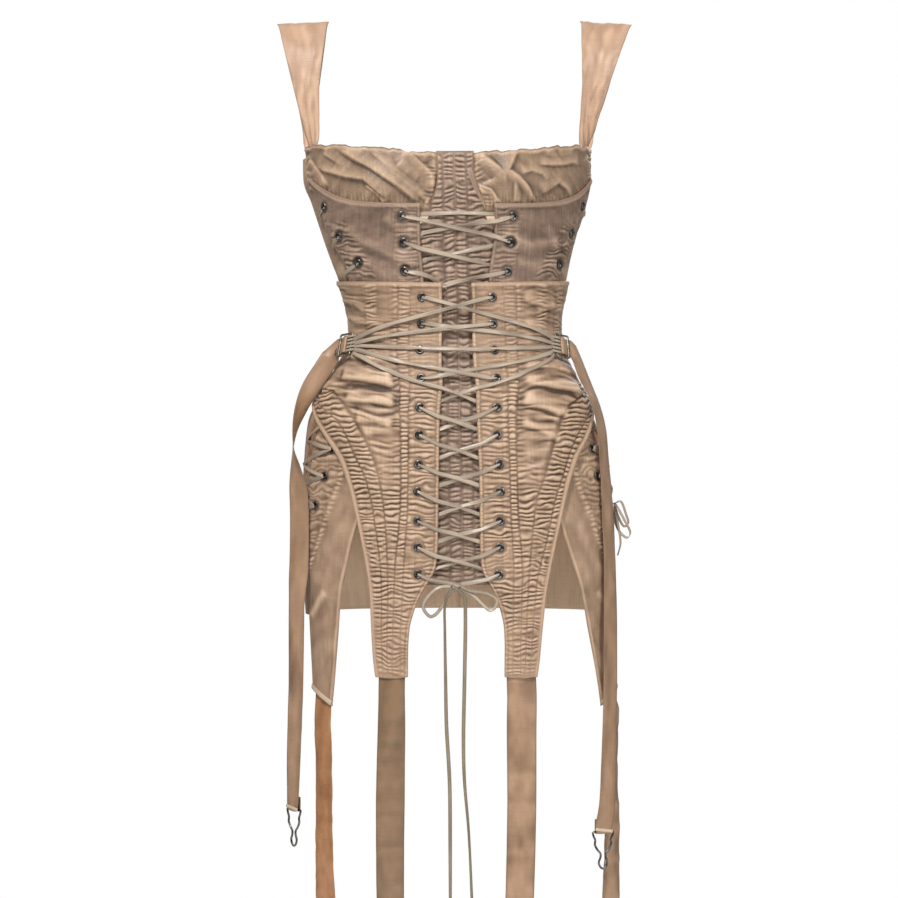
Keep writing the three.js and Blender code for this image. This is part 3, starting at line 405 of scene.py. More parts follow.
def ruched(u: Grid, z: Grid, pitch: float, key: float = 0.0, loose: float = 1.0) -> Grid:
    """Gathers whose folds run across the piece, from 0 to 1.

    Args:
        u: girth distances.
        z: heights.
        pitch: distance from crest to crest.
        key: a number that sets this row of gathers apart from its neighbours.
        loose: how far the folds wander.

    Returns:
        The height share at each place.
    """
    bend = GRAIN.at(u / 17 + key * 3.1, z / 11 + key) * 0.7 + GRAIN.at(u / 7 + key, z / 5 + 40) * 0.26
    phase = 2 * np.pi * (z + loose * pitch * bend + key * 1.7) / pitch
    body = (0.5 + 0.5 * np.cos(phase)) ** 0.8
    vary = 0.78 + 0.42 * GRAIN.at(u / 8 + 31 + key, z / 5.5)
    return body * np.clip(vary, 0.15, 1.15)


def between(u: Grid, lines: list[Grid]) -> tuple[Grid, Grid, Grid]:
    """Which sewn channel each place is in.

    Args:
        u: girth distances.
        lines: the stitch lines that part the channels, in rising order.

    Returns:
        The channel's number, the place across it from 0 to 1, and the distance to the nearest line.
    """
    stack = np.stack(np.broadcast_arrays(*lines))
    stack = np.maximum.accumulate(stack, 0)
    number = (u[None] > stack).sum(0)
    low = np.take_along_axis(stack, np.clip(number - 1, 0, len(lines) - 1)[None], 0)[0]
    high = np.take_along_axis(stack, np.clip(number, 0, len(lines) - 1)[None], 0)[0]
    share = np.clip((u - low) / np.maximum(high - low, 0.5), 0, 1)
    return number, share, np.abs(u[None] - stack).min(0)


def away_from(u: Grid, z: Grid, line: Spots) -> tuple[Grid, Grid, Grid]:
    """How far each place lies from a drawn line.

    Args:
        u: girth distances.
        z: heights.
        line: the line's corners, as girth distance and height.

    Returns:
        The distance, the side of the line as -1 or 1, and the share along it.
    """
    best = np.full(np.shape(u), 1e9)
    turn, share = np.zeros(np.shape(u)), np.zeros(np.shape(u))
    lengths = [math.dist(a, b) for a, b in zip(line, line[1:])]
    run = 0.0
    for (a, b), length in zip(zip(line, line[1:]), lengths):
        dx, dz = (b[0] - a[0]) / length, (b[1] - a[1]) / length
        along = np.clip((u - a[0]) * dx + (z - a[1]) * dz, 0, length)
        ox, oz = u - a[0] - along * dx, z - a[1] - along * dz
        d = np.hypot(ox, oz)
        nearer = d < best
        best = np.where(nearer, d, best)
        turn = np.where(nearer, np.sign(ox * dz - oz * dx), turn)
        share = np.where(nearer, (run + along) / sum(lengths), share)
        run += length
    return best, turn, share


@dataclass(frozen=True)
class Fold:
    """One soft or sharp fold of the cloth along a drawn line."""

    line: Spots
    high: float
    wide: float
    sharp: float = 0.0

    def height(self, u: Grid, z: Grid) -> Grid:
        """The fold's height at each place: one flank soft, the other as steep as sharp says."""
        d, turn, share = away_from(u, z, self.line)
        steep = self.wide * (1 - 0.85 * abs(self.sharp))
        wide = np.where(turn * np.sign(self.sharp or 1) > 0, self.wide, steep)
        ends = ease(0, 0.16, share) * ease(0, 0.16, 1 - share)
        return self.high * ridge(d, wide) * mix(0.15, 1.0, ends)


def blurred(values: np.ndarray, rows: int, cols: int) -> np.ndarray:
    """The grid's values, each averaged with its neighbours up to so many rows and columns away."""
    for axis, reach in ((0, rows), (1, cols)):
        wide = [(0, 0), (0, 0)]
        wide[axis] = (reach + 1, reach)
        total = np.cumsum(np.pad(values, wide, mode="edge"), axis)
        size = values.shape[axis]
        last = np.take(total, np.arange(size) + 2 * reach + 1, axis)
        values = (last - np.take(total, np.arange(size), axis)) / (2 * reach + 1)
    return values


def hollows(high: np.ndarray) -> np.ndarray:
    """0 in the hollows of a folded sheet, 1 on its crests and 0.5 where it lies flat."""
    near, far = high - blurred(high, 3, 2), high - blurred(high, 9, 5)
    return np.clip(0.5 + 0.5 * near + 0.3 * far, 0, 1)


def from_eyelets(spots: Spots, u: Grid, z: Grid) -> Grid:
    """The distance of each place from the middle of the nearest eyelet."""
    nearest = np.full(np.shape(u), 1e3)
    for a, b in spots:
        nearest = np.minimum(nearest, np.hypot(u - a, z - b))
    return nearest


def punched(spots: Spots, u: Grid, z: Grid) -> Grid:
    """1 in the hollow of each eyelet and 0 outside it."""
    return ease(EYELET_HOLE + 0.7, EYELET_HOLE, from_eyelets(spots, u, z))


def clear_of(spots: Spots, u: Grid, z: Grid) -> Grid:
    """0 on each eyelet's flange, rising to 1 away from it."""
    return ease(5.4, 9.0, from_eyelets(spots, u, z))


BODICE_EYELETS = ((58, -215), (55, -243), (53.5, -273.4))
GIRDLE_EYELETS = ((36, -301), (36.5, -329.5), (38, -359), (38.5, -388.7), (39.5, -419), (40, -447),
                  (41.5, -477.5), (42.5, -505.5), (42.5, -536.5), (42, -564), (41.5, -592))
SIDE_EYELETS = {Side.LEFT: ((154.8, -203), (131, -234.7), (105.7, -263.6)),
                Side.RIGHT: ((158, -201.3), (135.4, -230.3), (118.2, -264.3))}
HIP_EYELETS = {Side.LEFT: ((138.4, -461), (149.8, -490), (164.1, -521)),
               Side.RIGHT: ((154, -461), (160, -490), (166.5, -521))}
# The outlines of the pieces: girth distance from the centre line at each height. The cup's and the two top
# edges are the other way round, a height at each girth distance.
CENTRE_EDGE = Line(((-148, 19.6), (-170, 19), (-190, 23), (-204, 28.5), (-218, 30), (-230, 44), (-290, 42),
                    (-330, 34), (-400, 32), (-500, 34), (-603, 35)))
CENTRE_SEAM = Line(((-158, -0.9), (-221, -2.1), (-304, 1.0), (-410, 1.5), (-514, 2.6), (-598, 4.2)))
CUP_TOP = Line(((20, -150), (50, -148.5), (100, -143), (140, -138.5), (182, -138)))
BODICE_TOP_EDGE = Line(((33, -203.5), (75, -202.5), (110, -200), (140, -193), (162, -182), (176, -172)))
BODICE_INNER = Line(((-200, 40), (-241, 38.5), (-272, 35), (-297, 33.5)))
BODICE_OUTER = Line(((-172, 176), (-184, 173), (-201, 168), (-231, 149), (-264, 127), (-297, 114)))
GIRDLE_TOP_EDGE = Line(((15, -286), (50, -285), (95, -283), (140, -280.5), (170, -279.5)))
GIRDLE_INNER = Line((
    (-280, 15.6), (-336, 15.8), (-390, 17), (-411, 18.5), (-462, 20.5), (-514, 21.5), (-566, 22.2), (-583, 23.7),
    (-591, 26), (-600, 31), (-614, 38.5), (-634, 45.8), (-650, 49), (-671, 50), (-700, 50)))
GIRDLE_OUTER = Line((
    (-279, 168), (-305, 160), (-330, 156), (-355, 159), (-380, 172), (-400, 183), (-412, 186), (-424, 171),
    (-438, 156), (-455, 141), (-470, 129.5), (-486, 122), (-510, 114), (-540, 106.5), (-587, 96.5), (-614, 92),
    (-648, 88.5), (-682, 85.8), (-700, 83.5)))
HIP_INNER = Line((
    (-398, 150), (-430, 140), (-460, 124), (-486, 110), (-520, 104), (-542, 109), (-561, 115.5), (-585, 122.5),
    (-617, 132), (-651, 137.5), (-693, 144.5), (-730, 150)))
HIP_OUTER = Line((
    (-398, 166), (-436, 165), (-461, 171), (-490, 179), (-520, 183), (-560, 184), (-600, 187), (-626, 188),
    (-660, 187), (-719, 185)))
BACK_EDGE = Line((
    (-150, 184.6), (-181, 187), (-194, 164), (-204, 151), (-231, 134), (-264, 116), (-283, 122), (-305, 146),
    (-330, 147), (-355, 150), (-380, 162), (-398, 171), (-436, 176), (-461, 183), (-490, 190), (-520, 189),
    (-545, 185.4), (-600, 188.5), (-640, 189.6)))


def tab_swing(side: int, z: Numbers) -> Numbers:
    """How far a side tab swings round, more towards its end."""
    return side * 11.7 * ease(-540, -720, z)


def girdle_lift(u: Grid, z: Grid) -> Grid:
    """Height of the girdle's under side: high over the lacing, down at its outer edge."""
    edge = GIRDLE_OUTER.at(z)
    start = mix(edge - 32, 76, ease(-300, -322, z) * ease(-415, -385, z))
    low = EDGE_LIFT + 0.15 - 0.8 * ease(-398, -375, z)
    t = np.clip((u - start) / np.maximum(edge - 9 - start, 1), 0, 1)
    return GIRDLE_LIFT - (GIRDLE_LIFT - low) * t * t * (3 - 2 * t) * ease(-655, -600, z)


def bodice_lift(u: Numbers, z: Numbers) -> Numbers:
    """Height of the bodice front's under side."""
    t = np.clip((u - 66) / np.maximum(BODICE_OUTER.at(z) - 88, 1), 0, 1)
    return mix(BODICE_LIFT, mix(EDGE_LIFT + 0.15, 3.0, ease(-215, -195, z)), t * t * (3 - 2 * t))


def linear(code: str) -> tuple[float, float, float, float]:
    """A colour in linear light from its sRGB hex code."""
    parts = [int(code[k:k + 2], 16) / 255 for k in (1, 3, 5)]
    return (*(c / 12.92 if c <= 0.04045 else ((c + 0.055) / 1.055) ** 2.4 for c in parts), 1.0)


class NodeBench:
    """A material's node tree in the making."""

    def __init__(self, name: str) -> None:
        """Starts a material with only its shader and output."""
        self.material = bpy.data.materials.new(name)
        self.material.use_nodes = True
        self.tree = self.material.node_tree
        self.tree.nodes.clear()
        self.output = self.add("ShaderNodeOutputMaterial")
        self.shader = self.add("ShaderNodeBsdfPrincipled")
        self.tree.links.new(self.shader.outputs[0], self.output.inputs["Surface"])

    def add(self, kind: str, links: dict | None = None, **settings) -> bpy.types.Node:
        """Adds one node.

        Args:
            kind: the node's type.
            links: input name or number to the output or value that it takes.
            settings: properties of the node itself.

        Returns:
            The node.
        """
        node = self.tree.nodes.new(kind)
        for key, value in settings.items():
            setattr(node, key, value)
        for key, value in (links or {}).items():
            if isinstance(value, bpy.types.NodeSocket):
                self.tree.links.new(value, node.inputs[key])
            else:
                node.inputs[key].default_value = value
        return node

    def ramp(self, factor: bpy.types.NodeSocket, stops: tuple[tuple[float, str], ...]) -> bpy.types.NodeSocket:
        """Colours along a factor, from pairs of place and hex code."""
        node = self.add("ShaderNodeValToRGB", {"Fac": factor})
        while len(node.color_ramp.elements) < len(stops):
            node.color_ramp.elements.new(0.5)
        for element, (place, code) in zip(node.color_ramp.elements, stops):
            element.position = place
            element.color = linear(code)
        return node.outputs["Color"]

    def blend(self, kind: str, factor: bpy.types.NodeSocket | float, a: bpy.types.NodeSocket | tuple,
              b: bpy.types.NodeSocket | tuple) -> bpy.types.NodeSocket:
        """Two colours mixed in one of the usual ways."""
        node = self.add("ShaderNodeMix", {"Factor": factor}, data_type="RGBA", blend_type=kind)
        for key, value in ((6, a), (7, b)):
            if isinstance(value, bpy.types.NodeSocket):
                self.tree.links.new(value, node.inputs[key])
            else:
                node.inputs[key].default_value = value
        return node.outputs[2]

    def sums(self, kind: str, a: bpy.types.NodeSocket, b: bpy.types.NodeSocket | float) -> bpy.types.NodeSocket:
        """One step of arithmetic."""
        return self.add("ShaderNodeMath", {0: a, 1: b}, operation=kind).outputs[0]

    def set(self, **values) -> None:
        """Sets the shader's sockets; an underscore stands for a space."""
        for key, value in values.items():
            socket = self.shader.inputs[key.replace("_", " ")]
            if isinstance(value, bpy.types.NodeSocket):
                self.tree.links.new(value, socket)
            else:
                socket.default_value = value


class ClothBench(NodeBench):
    """A node tree that reads a cloth piece's own coordinates, folds and edges."""

    def __init__(self, name: str) -> None:
        """Starts the material and reads what the mesh holds."""
        super().__init__(name)
        self.cloth = self.add("ShaderNodeUVMap", uv_map="Cloth").outputs[0]
        self.fold, self.edge = (self.add("ShaderNodeAttribute", attribute_name=key).outputs["Fac"]
                                for key in ("fold", "edge"))

    def pattern(self, wide: float, tall: float, detail: float = 2.0) -> bpy.types.NodeSocket:
        """Noise whose swings are so many millimetres wide and tall."""
        placed = self.add("ShaderNodeMapping", {"Vector": self.cloth, "Scale": (100 / wide, 100 / tall, 1)})
        noise = self.add("ShaderNodeTexNoise", {"Vector": placed.outputs[0], "Scale": 1.0, "Detail": detail})
        return noise.outputs["Fac"]


@dataclass(frozen=True)
class SatinCotton:
    """Slubbed cotton satin, woven with uneven yarns and dyed before sewing.

    It gives fine uneven upright lines, a soft sheen and rosier edges; its valleys are darkened with a rosier painted
    shade and its crests lightened with a painted highlight.
    """

    name: str
    valley: str
    middle: str
    crest: str
    edge: str
    sheen: float = 0.22
    rough: float = 0.56
    slub: float = 0.4
    # A lighter colour for the inner face: painted light on a face that lies in shade inside the dress.
    inside_light: str = ""

    def make(self) -> bpy.types.Material:
        """Builds the material from the piece's own cloth coordinates and its fold and edge values."""
        bench = ClothBench(self.name)
        fold, edge = bench.fold, bench.edge
        # The warp slubs, 1 mm apart on the real cloth, are drawn 2.4 mm apart to show; they run for 50 mm.
        warp = bench.pattern(2.4, 50.0)
        weft = bench.pattern(22.0, 2.2)
        cloud = bench.pattern(34.0, 26.0, 4.0)
        fine = bench.pattern(2.4, 2.0, 4.0)
        # height is the fold value plus a random cloud of tone; the ramp turns it into painted shade in the valleys and
        # a painted highlight on the crests.
        height = bench.sums("ADD", fold, bench.sums("MULTIPLY", bench.sums("SUBTRACT", cloud, 0.5), 0.5))
        colour = bench.ramp(height, ((0.05, self.valley), (0.5, self.middle), (0.95, self.crest)))
        # The inner face, marked by a fold value over 1.5, takes the lighter colour: painted light over its shade.
        if self.inside_light:
            colour = bench.blend("MIX", bench.sums("GREATER_THAN", fold, 1.5), colour, linear(self.inside_light))
        yarn = bench.ramp(warp, ((0.3, "#a3978f"), (0.5, "#dcd5d0"), (0.72, "#ffffff")))
        colour = bench.blend("MULTIPLY", self.slub, colour, yarn)
        across = bench.ramp(weft, ((0.32, "#c6bbb4"), (0.6, "#ffffff")))
        colour = bench.blend("MULTIPLY", 0.08, colour, across)
        colour = bench.blend("MIX", bench.sums("MULTIPLY", edge, 0.75), colour, linear(self.edge))
        rough = bench.sums("ADD", bench.sums("MULTIPLY", cloud, 0.22), self.rough - 0.11)
        relief = bench.sums("ADD", bench.sums("MULTIPLY", warp, 0.45),
                            bench.sums("ADD", bench.sums("MULTIPLY", weft, 0.08), fine))
        bump = bench.add("ShaderNodeBump", {"Strength": 0.55, "Distance": 0.0011, "Height": relief})
        bench.set(Base_Color=colour, Roughness=rough, Normal=bump.outputs[0], IOR=1.46, Sheen_Weight=self.sheen,
                  Sheen_Roughness=0.45, Sheen_Tint=linear("#e9cdb6"))
        return bench.material


@dataclass(frozen=True)
class RibbonSatin:
    """Woven satin ribbon with a fine selvedge.

    The float threads give fine ribs across it; a long soft gleam along the ribbon is painted into its colour as
    highlight, with its raised parts painted lighter and its dips darker as shade.
    """

    name: str
    deep: str
    light: str
    selvedge: str
    rough: float = 0.42

    def make(self) -> bpy.types.Material:
        """Builds the material from the ribbon's own coordinates, across and along."""
        bench = ClothBench(self.name)
        # The painted gleam runs for 46 mm; the ribs across, 0.4 mm on the real ribbon, are drawn 1.6 mm apart to show.
        gleam = bench.pattern(15.0, 46.0, 3.0)
        rib = bench.pattern(26.0, 1.6, 1.0)
        # Painted light: the gleam streaks and the band's raised parts lighten the colour, its dips darken it.
        painted_sheen = bench.sums("ADD", bench.sums("MULTIPLY", gleam, 0.75), bench.sums("MULTIPLY", bench.fold, 0.35))
        colour = bench.ramp(painted_sheen, ((0.22, self.deep), (0.85, self.light)))
        colour = bench.blend("MULTIPLY", 0.1, colour, bench.ramp(rib, ((0.3, "#c9bdb2"), (0.6, "#ffffff"))))
        colour = bench.blend("MIX", bench.sums("MULTIPLY", bench.edge, 0.7), colour, linear(self.selvedge))
        rough = bench.sums("ADD", bench.sums("MULTIPLY", gleam, 0.2), self.rough - 0.1)
        bump = bench.add("ShaderNodeBump", {"Strength": 0.35, "Distance": 0.0005, "Height": rib})
        bench.set(Base_Color=colour, Roughness=rough, Normal=bump.outputs[0], IOR=1.5, Sheen_Weight=0.15,
                  Sheen_Roughness=0.35, Anisotropic=0.35)
        return bench.material


@dataclass(frozen=True)
class NickelPlate:
    """Nickel plate over pressed brass, tumbled and a little dulled by handling.

    It gives grey mirror-like highlights that break up in fine rub marks.
    """

    name: str
    bright: str
    dull: str
    rough: float

    def make(self) -> bpy.types.Material:
        """Builds the material from the piece's place, with rub marks 0.8 mm apart."""
        bench = NodeBench(self.name)
        place = bench.add("ShaderNodeTexCoord").outputs["Object"]
        rub = bench.add("ShaderNodeTexNoise", {"Vector": place, "Scale": 900.0, "Detail": 4.0}).outputs["Fac"]
        stain = bench.add("ShaderNodeTexNoise", {"Vector": place, "Scale": 220.0, "Detail": 2.0}).outputs["Fac"]
        colour = bench.ramp(stain, ((0.35, self.dull), (0.65, self.bright)))
        rough = bench.sums("ADD", bench.sums("MULTIPLY", rub, 0.25), self.rough - 0.1)
        bump = bench.add("ShaderNodeBump", {"Strength": 0.2, "Distance": 0.0002, "Height": rub})
        bench.set(Base_Color=colour, Roughness=rough, Normal=bump.outputs[0], Metallic=1.0)
        return bench.material


@dataclass(frozen=True)
class StudioPaper:
    """Matte white studio paper: even, pale and without gloss."""

    name: str = "studio_paper"

    def make(self) -> bpy.types.Material:
        """Builds the material with the faint mottling of paper pulp, 20 mm across."""
        bench = NodeBench(self.name)
        place = bench.add("ShaderNodeTexCoord").outputs["Object"]
        pulp = bench.add("ShaderNodeTexNoise", {"Vector": place, "Scale": 50.0}).outputs["Fac"]
        bench.set(Base_Color=bench.ramp(pulp, ((0.3, "#f1f0ee"), (0.7, "#f7f6f4"))), Roughness=0.9)
        return bench.material


class Finishes:
    """Every finish of the dress, made once."""

    def __init__(self) -> None:
        """Makes the materials."""
        # In each cotton the first colour is painted shade for the valleys, the second the cloth's own colour and the
        # third a painted highlight for the crests.
        self.bodice = SatinCotton("bodice_satin_cotton", "#47382f", "#977e6c", "#c8ac95", "#a88c78").make()
        self.girdle = SatinCotton("girdle_satin_cotton", "#523d2e", "#b39479", "#e2c3a5", "#bd9c82", 0.22, 0.56,
                                  0.24).make()
        self.cup = SatinCotton("cup_satin_cotton", "#5f4c3e", "#9f846c", "#d2b294", "#ae927b", 0.3, 0.46, 0.16).make()
        self.hidden = SatinCotton("back_satin_cotton", "#5a4434", "#ac8d73", "#d3b496", "#ab8d74", 0.2, 0.6,
                                  0.2, "#fce2c4").make()
        self.strap = RibbonSatin("strap_satin", "#aa886f", "#d5b092", "#a8876e", 0.5).make()
        self.ribbon = RibbonSatin("ribbon_satin", "#7f634b", "#c09b7c", "#8a6b52").make()
        # A darker copy of the ribbon satin, for the front left ribbon: painted shade.
        self.ribbon_shaded = RibbonSatin("ribbon_satin_faded", "#775f46", "#9a7a5d", "#7c6049").make()
        self.ribbon_warm = RibbonSatin("ribbon_satin_warm", "#96673f", "#c99065", "#a97650").make()
        self.lace = RibbonSatin("flat_lace", "#8b7a69", "#d3c0aa", "#7b6b5c", 0.36).make()
        # A darker copy of the flat lace, for the hanging tails: painted shade.
        self.lace_end = RibbonSatin("flat_lace_faded", "#6b5f4e", "#ab9a80", "#64594a", 0.4).make()
        self.piping = RibbonSatin("light_piping", "#c9b094", "#ead7bd", "#b89c80", 0.5).make()
        self.nickel = NickelPlate("nickel_plate", "#bdb6a6", "#6f6a5f", 0.32).make()
        self.gunmetal = NickelPlate("gunmetal_eyelet", "#8d8c88", "#3c3c3e", 0.3).make()
        self.paper = StudioPaper().make()


def declare(piece: bpy.types.Object, slot: Slot, *nodes: str) -> bpy.types.Object:
    """Lets a piece ride on the dress and stand for its solids."""
    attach(piece, "root")
    if nodes:
        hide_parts(*nodes)
    log.info("%s: %d faces", piece.name, len(piece.data.polygons))
    return piece


@dataclass
class Route:
    """Where the middle of a flat band runs, and which way its width points."""

    points: np.ndarray
    across: np.ndarray

    def fitted(self) -> tuple[np.ndarray, np.ndarray, np.ndarray]:
        """The way along, the width direction square to it and the face direction, at each station."""
        way = unit(np.gradient(self.points, axis=0))
        across = unit(self.across - way * (self.across * way).sum(1, keepdims=True))
        for k in range(1, len(across)):
            if across[k] @ across[k - 1] < 0:
                across[k:] *= -1
        return way, across, np.cross(way, across)

    def run(self) -> np.ndarray:
        """The length along the route at each station."""
        return np.concatenate([[0], np.cumsum(np.linalg.norm(np.diff(self.points, axis=0), axis=1))])

    def twisted(self, angle: np.ndarray) -> "Route":
        """The same route with its width turned about the way along, at each station."""
        _, across, face = self.fitted()
        return Route(self.points, across * np.cos(angle)[:, None] + face * np.sin(angle)[:, None])


def band(route: Route, wide: Numbers, thick: float, columns: int = 6, crown: float = 0.0,
         ripple: Callable[[Grid, Grid], Grid] | None = None, selvedge: float = 0.8) -> Surface:
    """A flat band of cloth along a route.

    Args:
        route: where it runs.
        wide: its width, one or one for each station.
        thick: its thickness.
        columns: cells across.
        crown: how far its middle stands over its edges.
        ripple: a function of length along and place across, in millimetres, that gives a height.
        selvedge: width of the darker edge.

    Returns:
        The closed surface.
    """
    _, across, face = route.fitted()
    run = route.run()
    wide = np.broadcast_to(np.asarray(wide, float), run.shape)
    place = np.linspace(-1, 1, columns + 1)
    offset = wide[:, None] / 2 * place[None]
    bow = crown * (1 - place ** 2)[None] * np.ones_like(offset)
    if ripple is not None:
        bow = bow + ripple(run[:, None] * np.ones_like(offset), offset)
    half = thick / 2 * (1 - 0.35 * np.abs(place) ** 3)[None] * np.ones_like(offset)
    middle = route.points[:, None] + across[:, None] * offset[..., None]
    outer = middle + face[:, None] * (bow + half)[..., None]
    inner = middle + face[:, None] * (bow - half)[..., None]
    uv = np.stack([offset, run[:, None] * np.ones_like(offset)], -1)
    edge = ease(selvedge, 0, wide[:, None] / 2 - np.abs(offset))
    # The fold value follows the band's rise: the ribbon finishes paint its raised parts lighter as highlight and its
    # dips darker as shade.
    fold = np.clip(0.5 + bow - bow.mean(), 0, 1)
    return shell(outer, inner, uv, fold, edge)


def catmull(rows: np.ndarray, count: int, power: float = 0.25) -> np.ndarray:
    """Points on the smooth curve through some rows of three numbers, evenly by row."""
    rows = np.asarray(rows, float)
    ends = np.concatenate([[2 * rows[0] - rows[1]], rows, [2 * rows[-1] - rows[-2]]])
    found = []
    for t in np.linspace(0, len(rows) - 1, count + 1):
        k = min(int(t), len(rows) - 2)
        w = t - k
        p = ends[k:k + 4]
        d = [max(float(((p[i + 1] - p[i]) ** 2).sum()) ** power, 1e-4) for i in range(3)]
        m1 = ((p[1] - p[0]) / d[0] - (p[2] - p[0]) / (d[0] + d[1]) + (p[2] - p[1]) / d[1]) * d[1]
        m2 = ((p[2] - p[1]) / d[1] - (p[3] - p[1]) / (d[1] + d[2]) + (p[3] - p[2]) / d[2]) * d[1]
        found.append((2 * w ** 3 - 3 * w ** 2 + 1) * p[1] + (w ** 3 - 2 * w ** 2 + w) * m1
                     + (-2 * w ** 3 + 3 * w ** 2) * p[2] + (w ** 3 - w ** 2) * m2)
    return np.array(found)


def lay(rows: Rows) -> tuple[Route, Grid]:
    """A lace laid over the cloth, with its climbs and dives softened.

    Args:
        rows: signed girth distance from the centre line, height and lift off the form.

    Returns:
        The route, and the distance, height and lift at each of its stations.
    """
    rows = np.asarray(rows, float)
    keys = [rows[0]]
    for a, b in zip(rows, rows[1:]):
        n = max(1, int(round(np.linalg.norm(b - a) / LACE_STEP)))
        keys += [mix(a, b, (k + 1) / n) for k in range(n)]
    keys = np.array(keys)
    for _ in range(6):
        keys[1:-1, 2] = (keys[:-2, 2] + 2 * keys[1:-1, 2] + keys[2:, 2]) / 4
    points, normal = FIGURE.place(1, keys[:, 0], keys[:, 1], keys[:, 2])
    run = np.gradient(points, axis=0)
    run -= normal * (run * normal).sum(1, keepdims=True)
    across = np.cross(normal, run)
    size = np.linalg.norm(across, axis=1)
    for k in range(len(across)):
        upright = size[k] <= 0.3 * LACE_STEP and k > 0
        across[k] = across[k - 1] if upright else across[k] / max(size[k], 1e-9)
    return Route(points, across), keys


@dataclass
class Camera:
    """The camera at the photograph's viewing angle, level with the middle of the frame."""

    place: tuple[float, float, float] = (-6.48, -3200.0, -461.16)
    mm_per_pixel: float = 1.08
    sensor: float = 36.0

    def build(self) -> None:
        """Adds the camera and makes it the scene's."""
        data = bpy.data.cameras.new("photo_camera")
        data.sensor_width = self.sensor
        data.lens = self.sensor * -self.place[1] / (PHOTO_PIXELS * self.mm_per_pixel)
        data.clip_end = 50
        camera = linked("photo_camera", data)
        camera.location = [v * MM for v in self.place]
        camera.rotation_euler = (math.radians(90), 0, 0)
        bpy.context.scene.camera = camera


@dataclass
class Studio:
    """A pale floor under the ribbons' ends and soft light all round."""

    floor: float = HANG_END - 2
    waist: float = -450.0
    even_light: float = 0.27

    def build(self, paper: bpy.types.Material) -> None:
        """Adds the floor, the lamps and the even light of the room."""
        bpy.ops.mesh.primitive_circle_add(vertices=96, radius=0.78, fill_type="NGON",
                                          location=(0, -0.5, self.floor * MM))
        floor = bpy.context.active_object
        floor.name = "studio_floor"
        bpy.ops.object.transform_apply(location=True, rotation=True, scale=True)
        floor.data.materials.append(paper)
        self.room()
        self.lamp("key", (-700, -1700, 1450), 420, 53)
        self.lamp("front_fill", (1500, -2100, 150), 900, 20)
        self.lamp("back", (700, 2300, 900), 1500, 34)

    def room(self) -> None:
        """Even light from all sides, against a white ground."""
        world = bpy.data.worlds.new("studio_room")
        world.use_nodes = True
        nodes, links = world.node_tree.nodes, world.node_tree.links
        ground = nodes["Background"]
        ground.inputs["Color"].default_value = linear("#ffffff")
        seen = nodes.new("ShaderNodeLightPath")
        level = nodes.new("ShaderNodeMapRange")
        links.new(seen.outputs["Is Camera Ray"], level.inputs["Value"])
        level.inputs["To Min"].default_value = self.even_light
        level.inputs["To Max"].default_value = 1.0
        links.new(level.outputs["Result"], ground.inputs["Strength"])
        bpy.context.scene.world = world
        bpy.context.scene.view_settings.view_transform = "Standard"

    def lamp(self, name: str, place: tuple[float, float, float], size: float, power: float) -> None:
        """One soft lamp that looks at the waist."""
        data = bpy.data.lights.new(name, "AREA")
        data.energy, data.size = power, size * MM
        lamp = linked(name, data)
        lamp.location = [v * MM for v in place]
        aim = Vector((0, 0, self.waist * MM)) - lamp.location
        lamp.rotation_euler = aim.to_track_quat("-Z", "Y").to_euler()


@dataclass
class ClothPiece:
    """One sewn piece of the dress: where its grid lies, how high it stands and how it folds."""

    name: str
    side: int
    finish: bpy.types.Material
    flat: tuple[float, float]
    area: float
    held: str = "stretched"
    rests_on: tuple[str, ...] = ()
    columns: int = 80
    rows: int = 100
    spots: Spots = ()
    # A fold value for the whole inner face, which selects a lighter colour painted on it as light.
    inside_light: float | None = None

    def place(self, h: Grid, v: Grid) -> tuple[Grid, Grid]:
        """Girth distances and heights for shares across and down."""
        raise NotImplementedError

    def lift(self, u: Grid, z: Grid) -> Grid:
        """Height of the under side off the form."""
        return np.zeros_like(u)

    def relief(self, u: Grid, z: Grid, h: Grid, v: Grid) -> tuple[Grid, Grid]:
        """Height of the folds and how near a seam each place is."""
        raise NotImplementedError

    def surface(self) -> Surface:
        """The piece's closed surface."""
        h, v = np.meshgrid(np.linspace(0, 1, self.columns + 1), np.linspace(0, 1, self.rows + 1))
        u, z = self.place(h, v)
        low = self.lift(u, z)
        high, edge = self.relief(u, z, h, v)
        hole = punched(self.spots, u, z)
        outer, _ = FIGURE.place(self.side, u, z, low + CLOTH + high - HOLE_DEPTH * hole)
        inner, _ = FIGURE.place(self.side, u, z, low + np.minimum(0, high) * 0.6)
        # The fold value paints shade in the hollows and a highlight on the crests; inside each eyelet's hole it is
        # pushed below -1, which paints the hole dark as shade.
        fold = hollows(high) - 2 * hole
        return shell(outer, inner, np.stack([self.side * u, z], -1), fold, edge * (1 - hole), self.inside_light)

    def build(self) -> bpy.types.Object:
        """Makes, declares and reports the piece."""
        piece = self.surface().as_object(self.name, self.finish)
        declare(piece, Slot.CLOTH, self.name.removesuffix("_cloth"))
        return piece


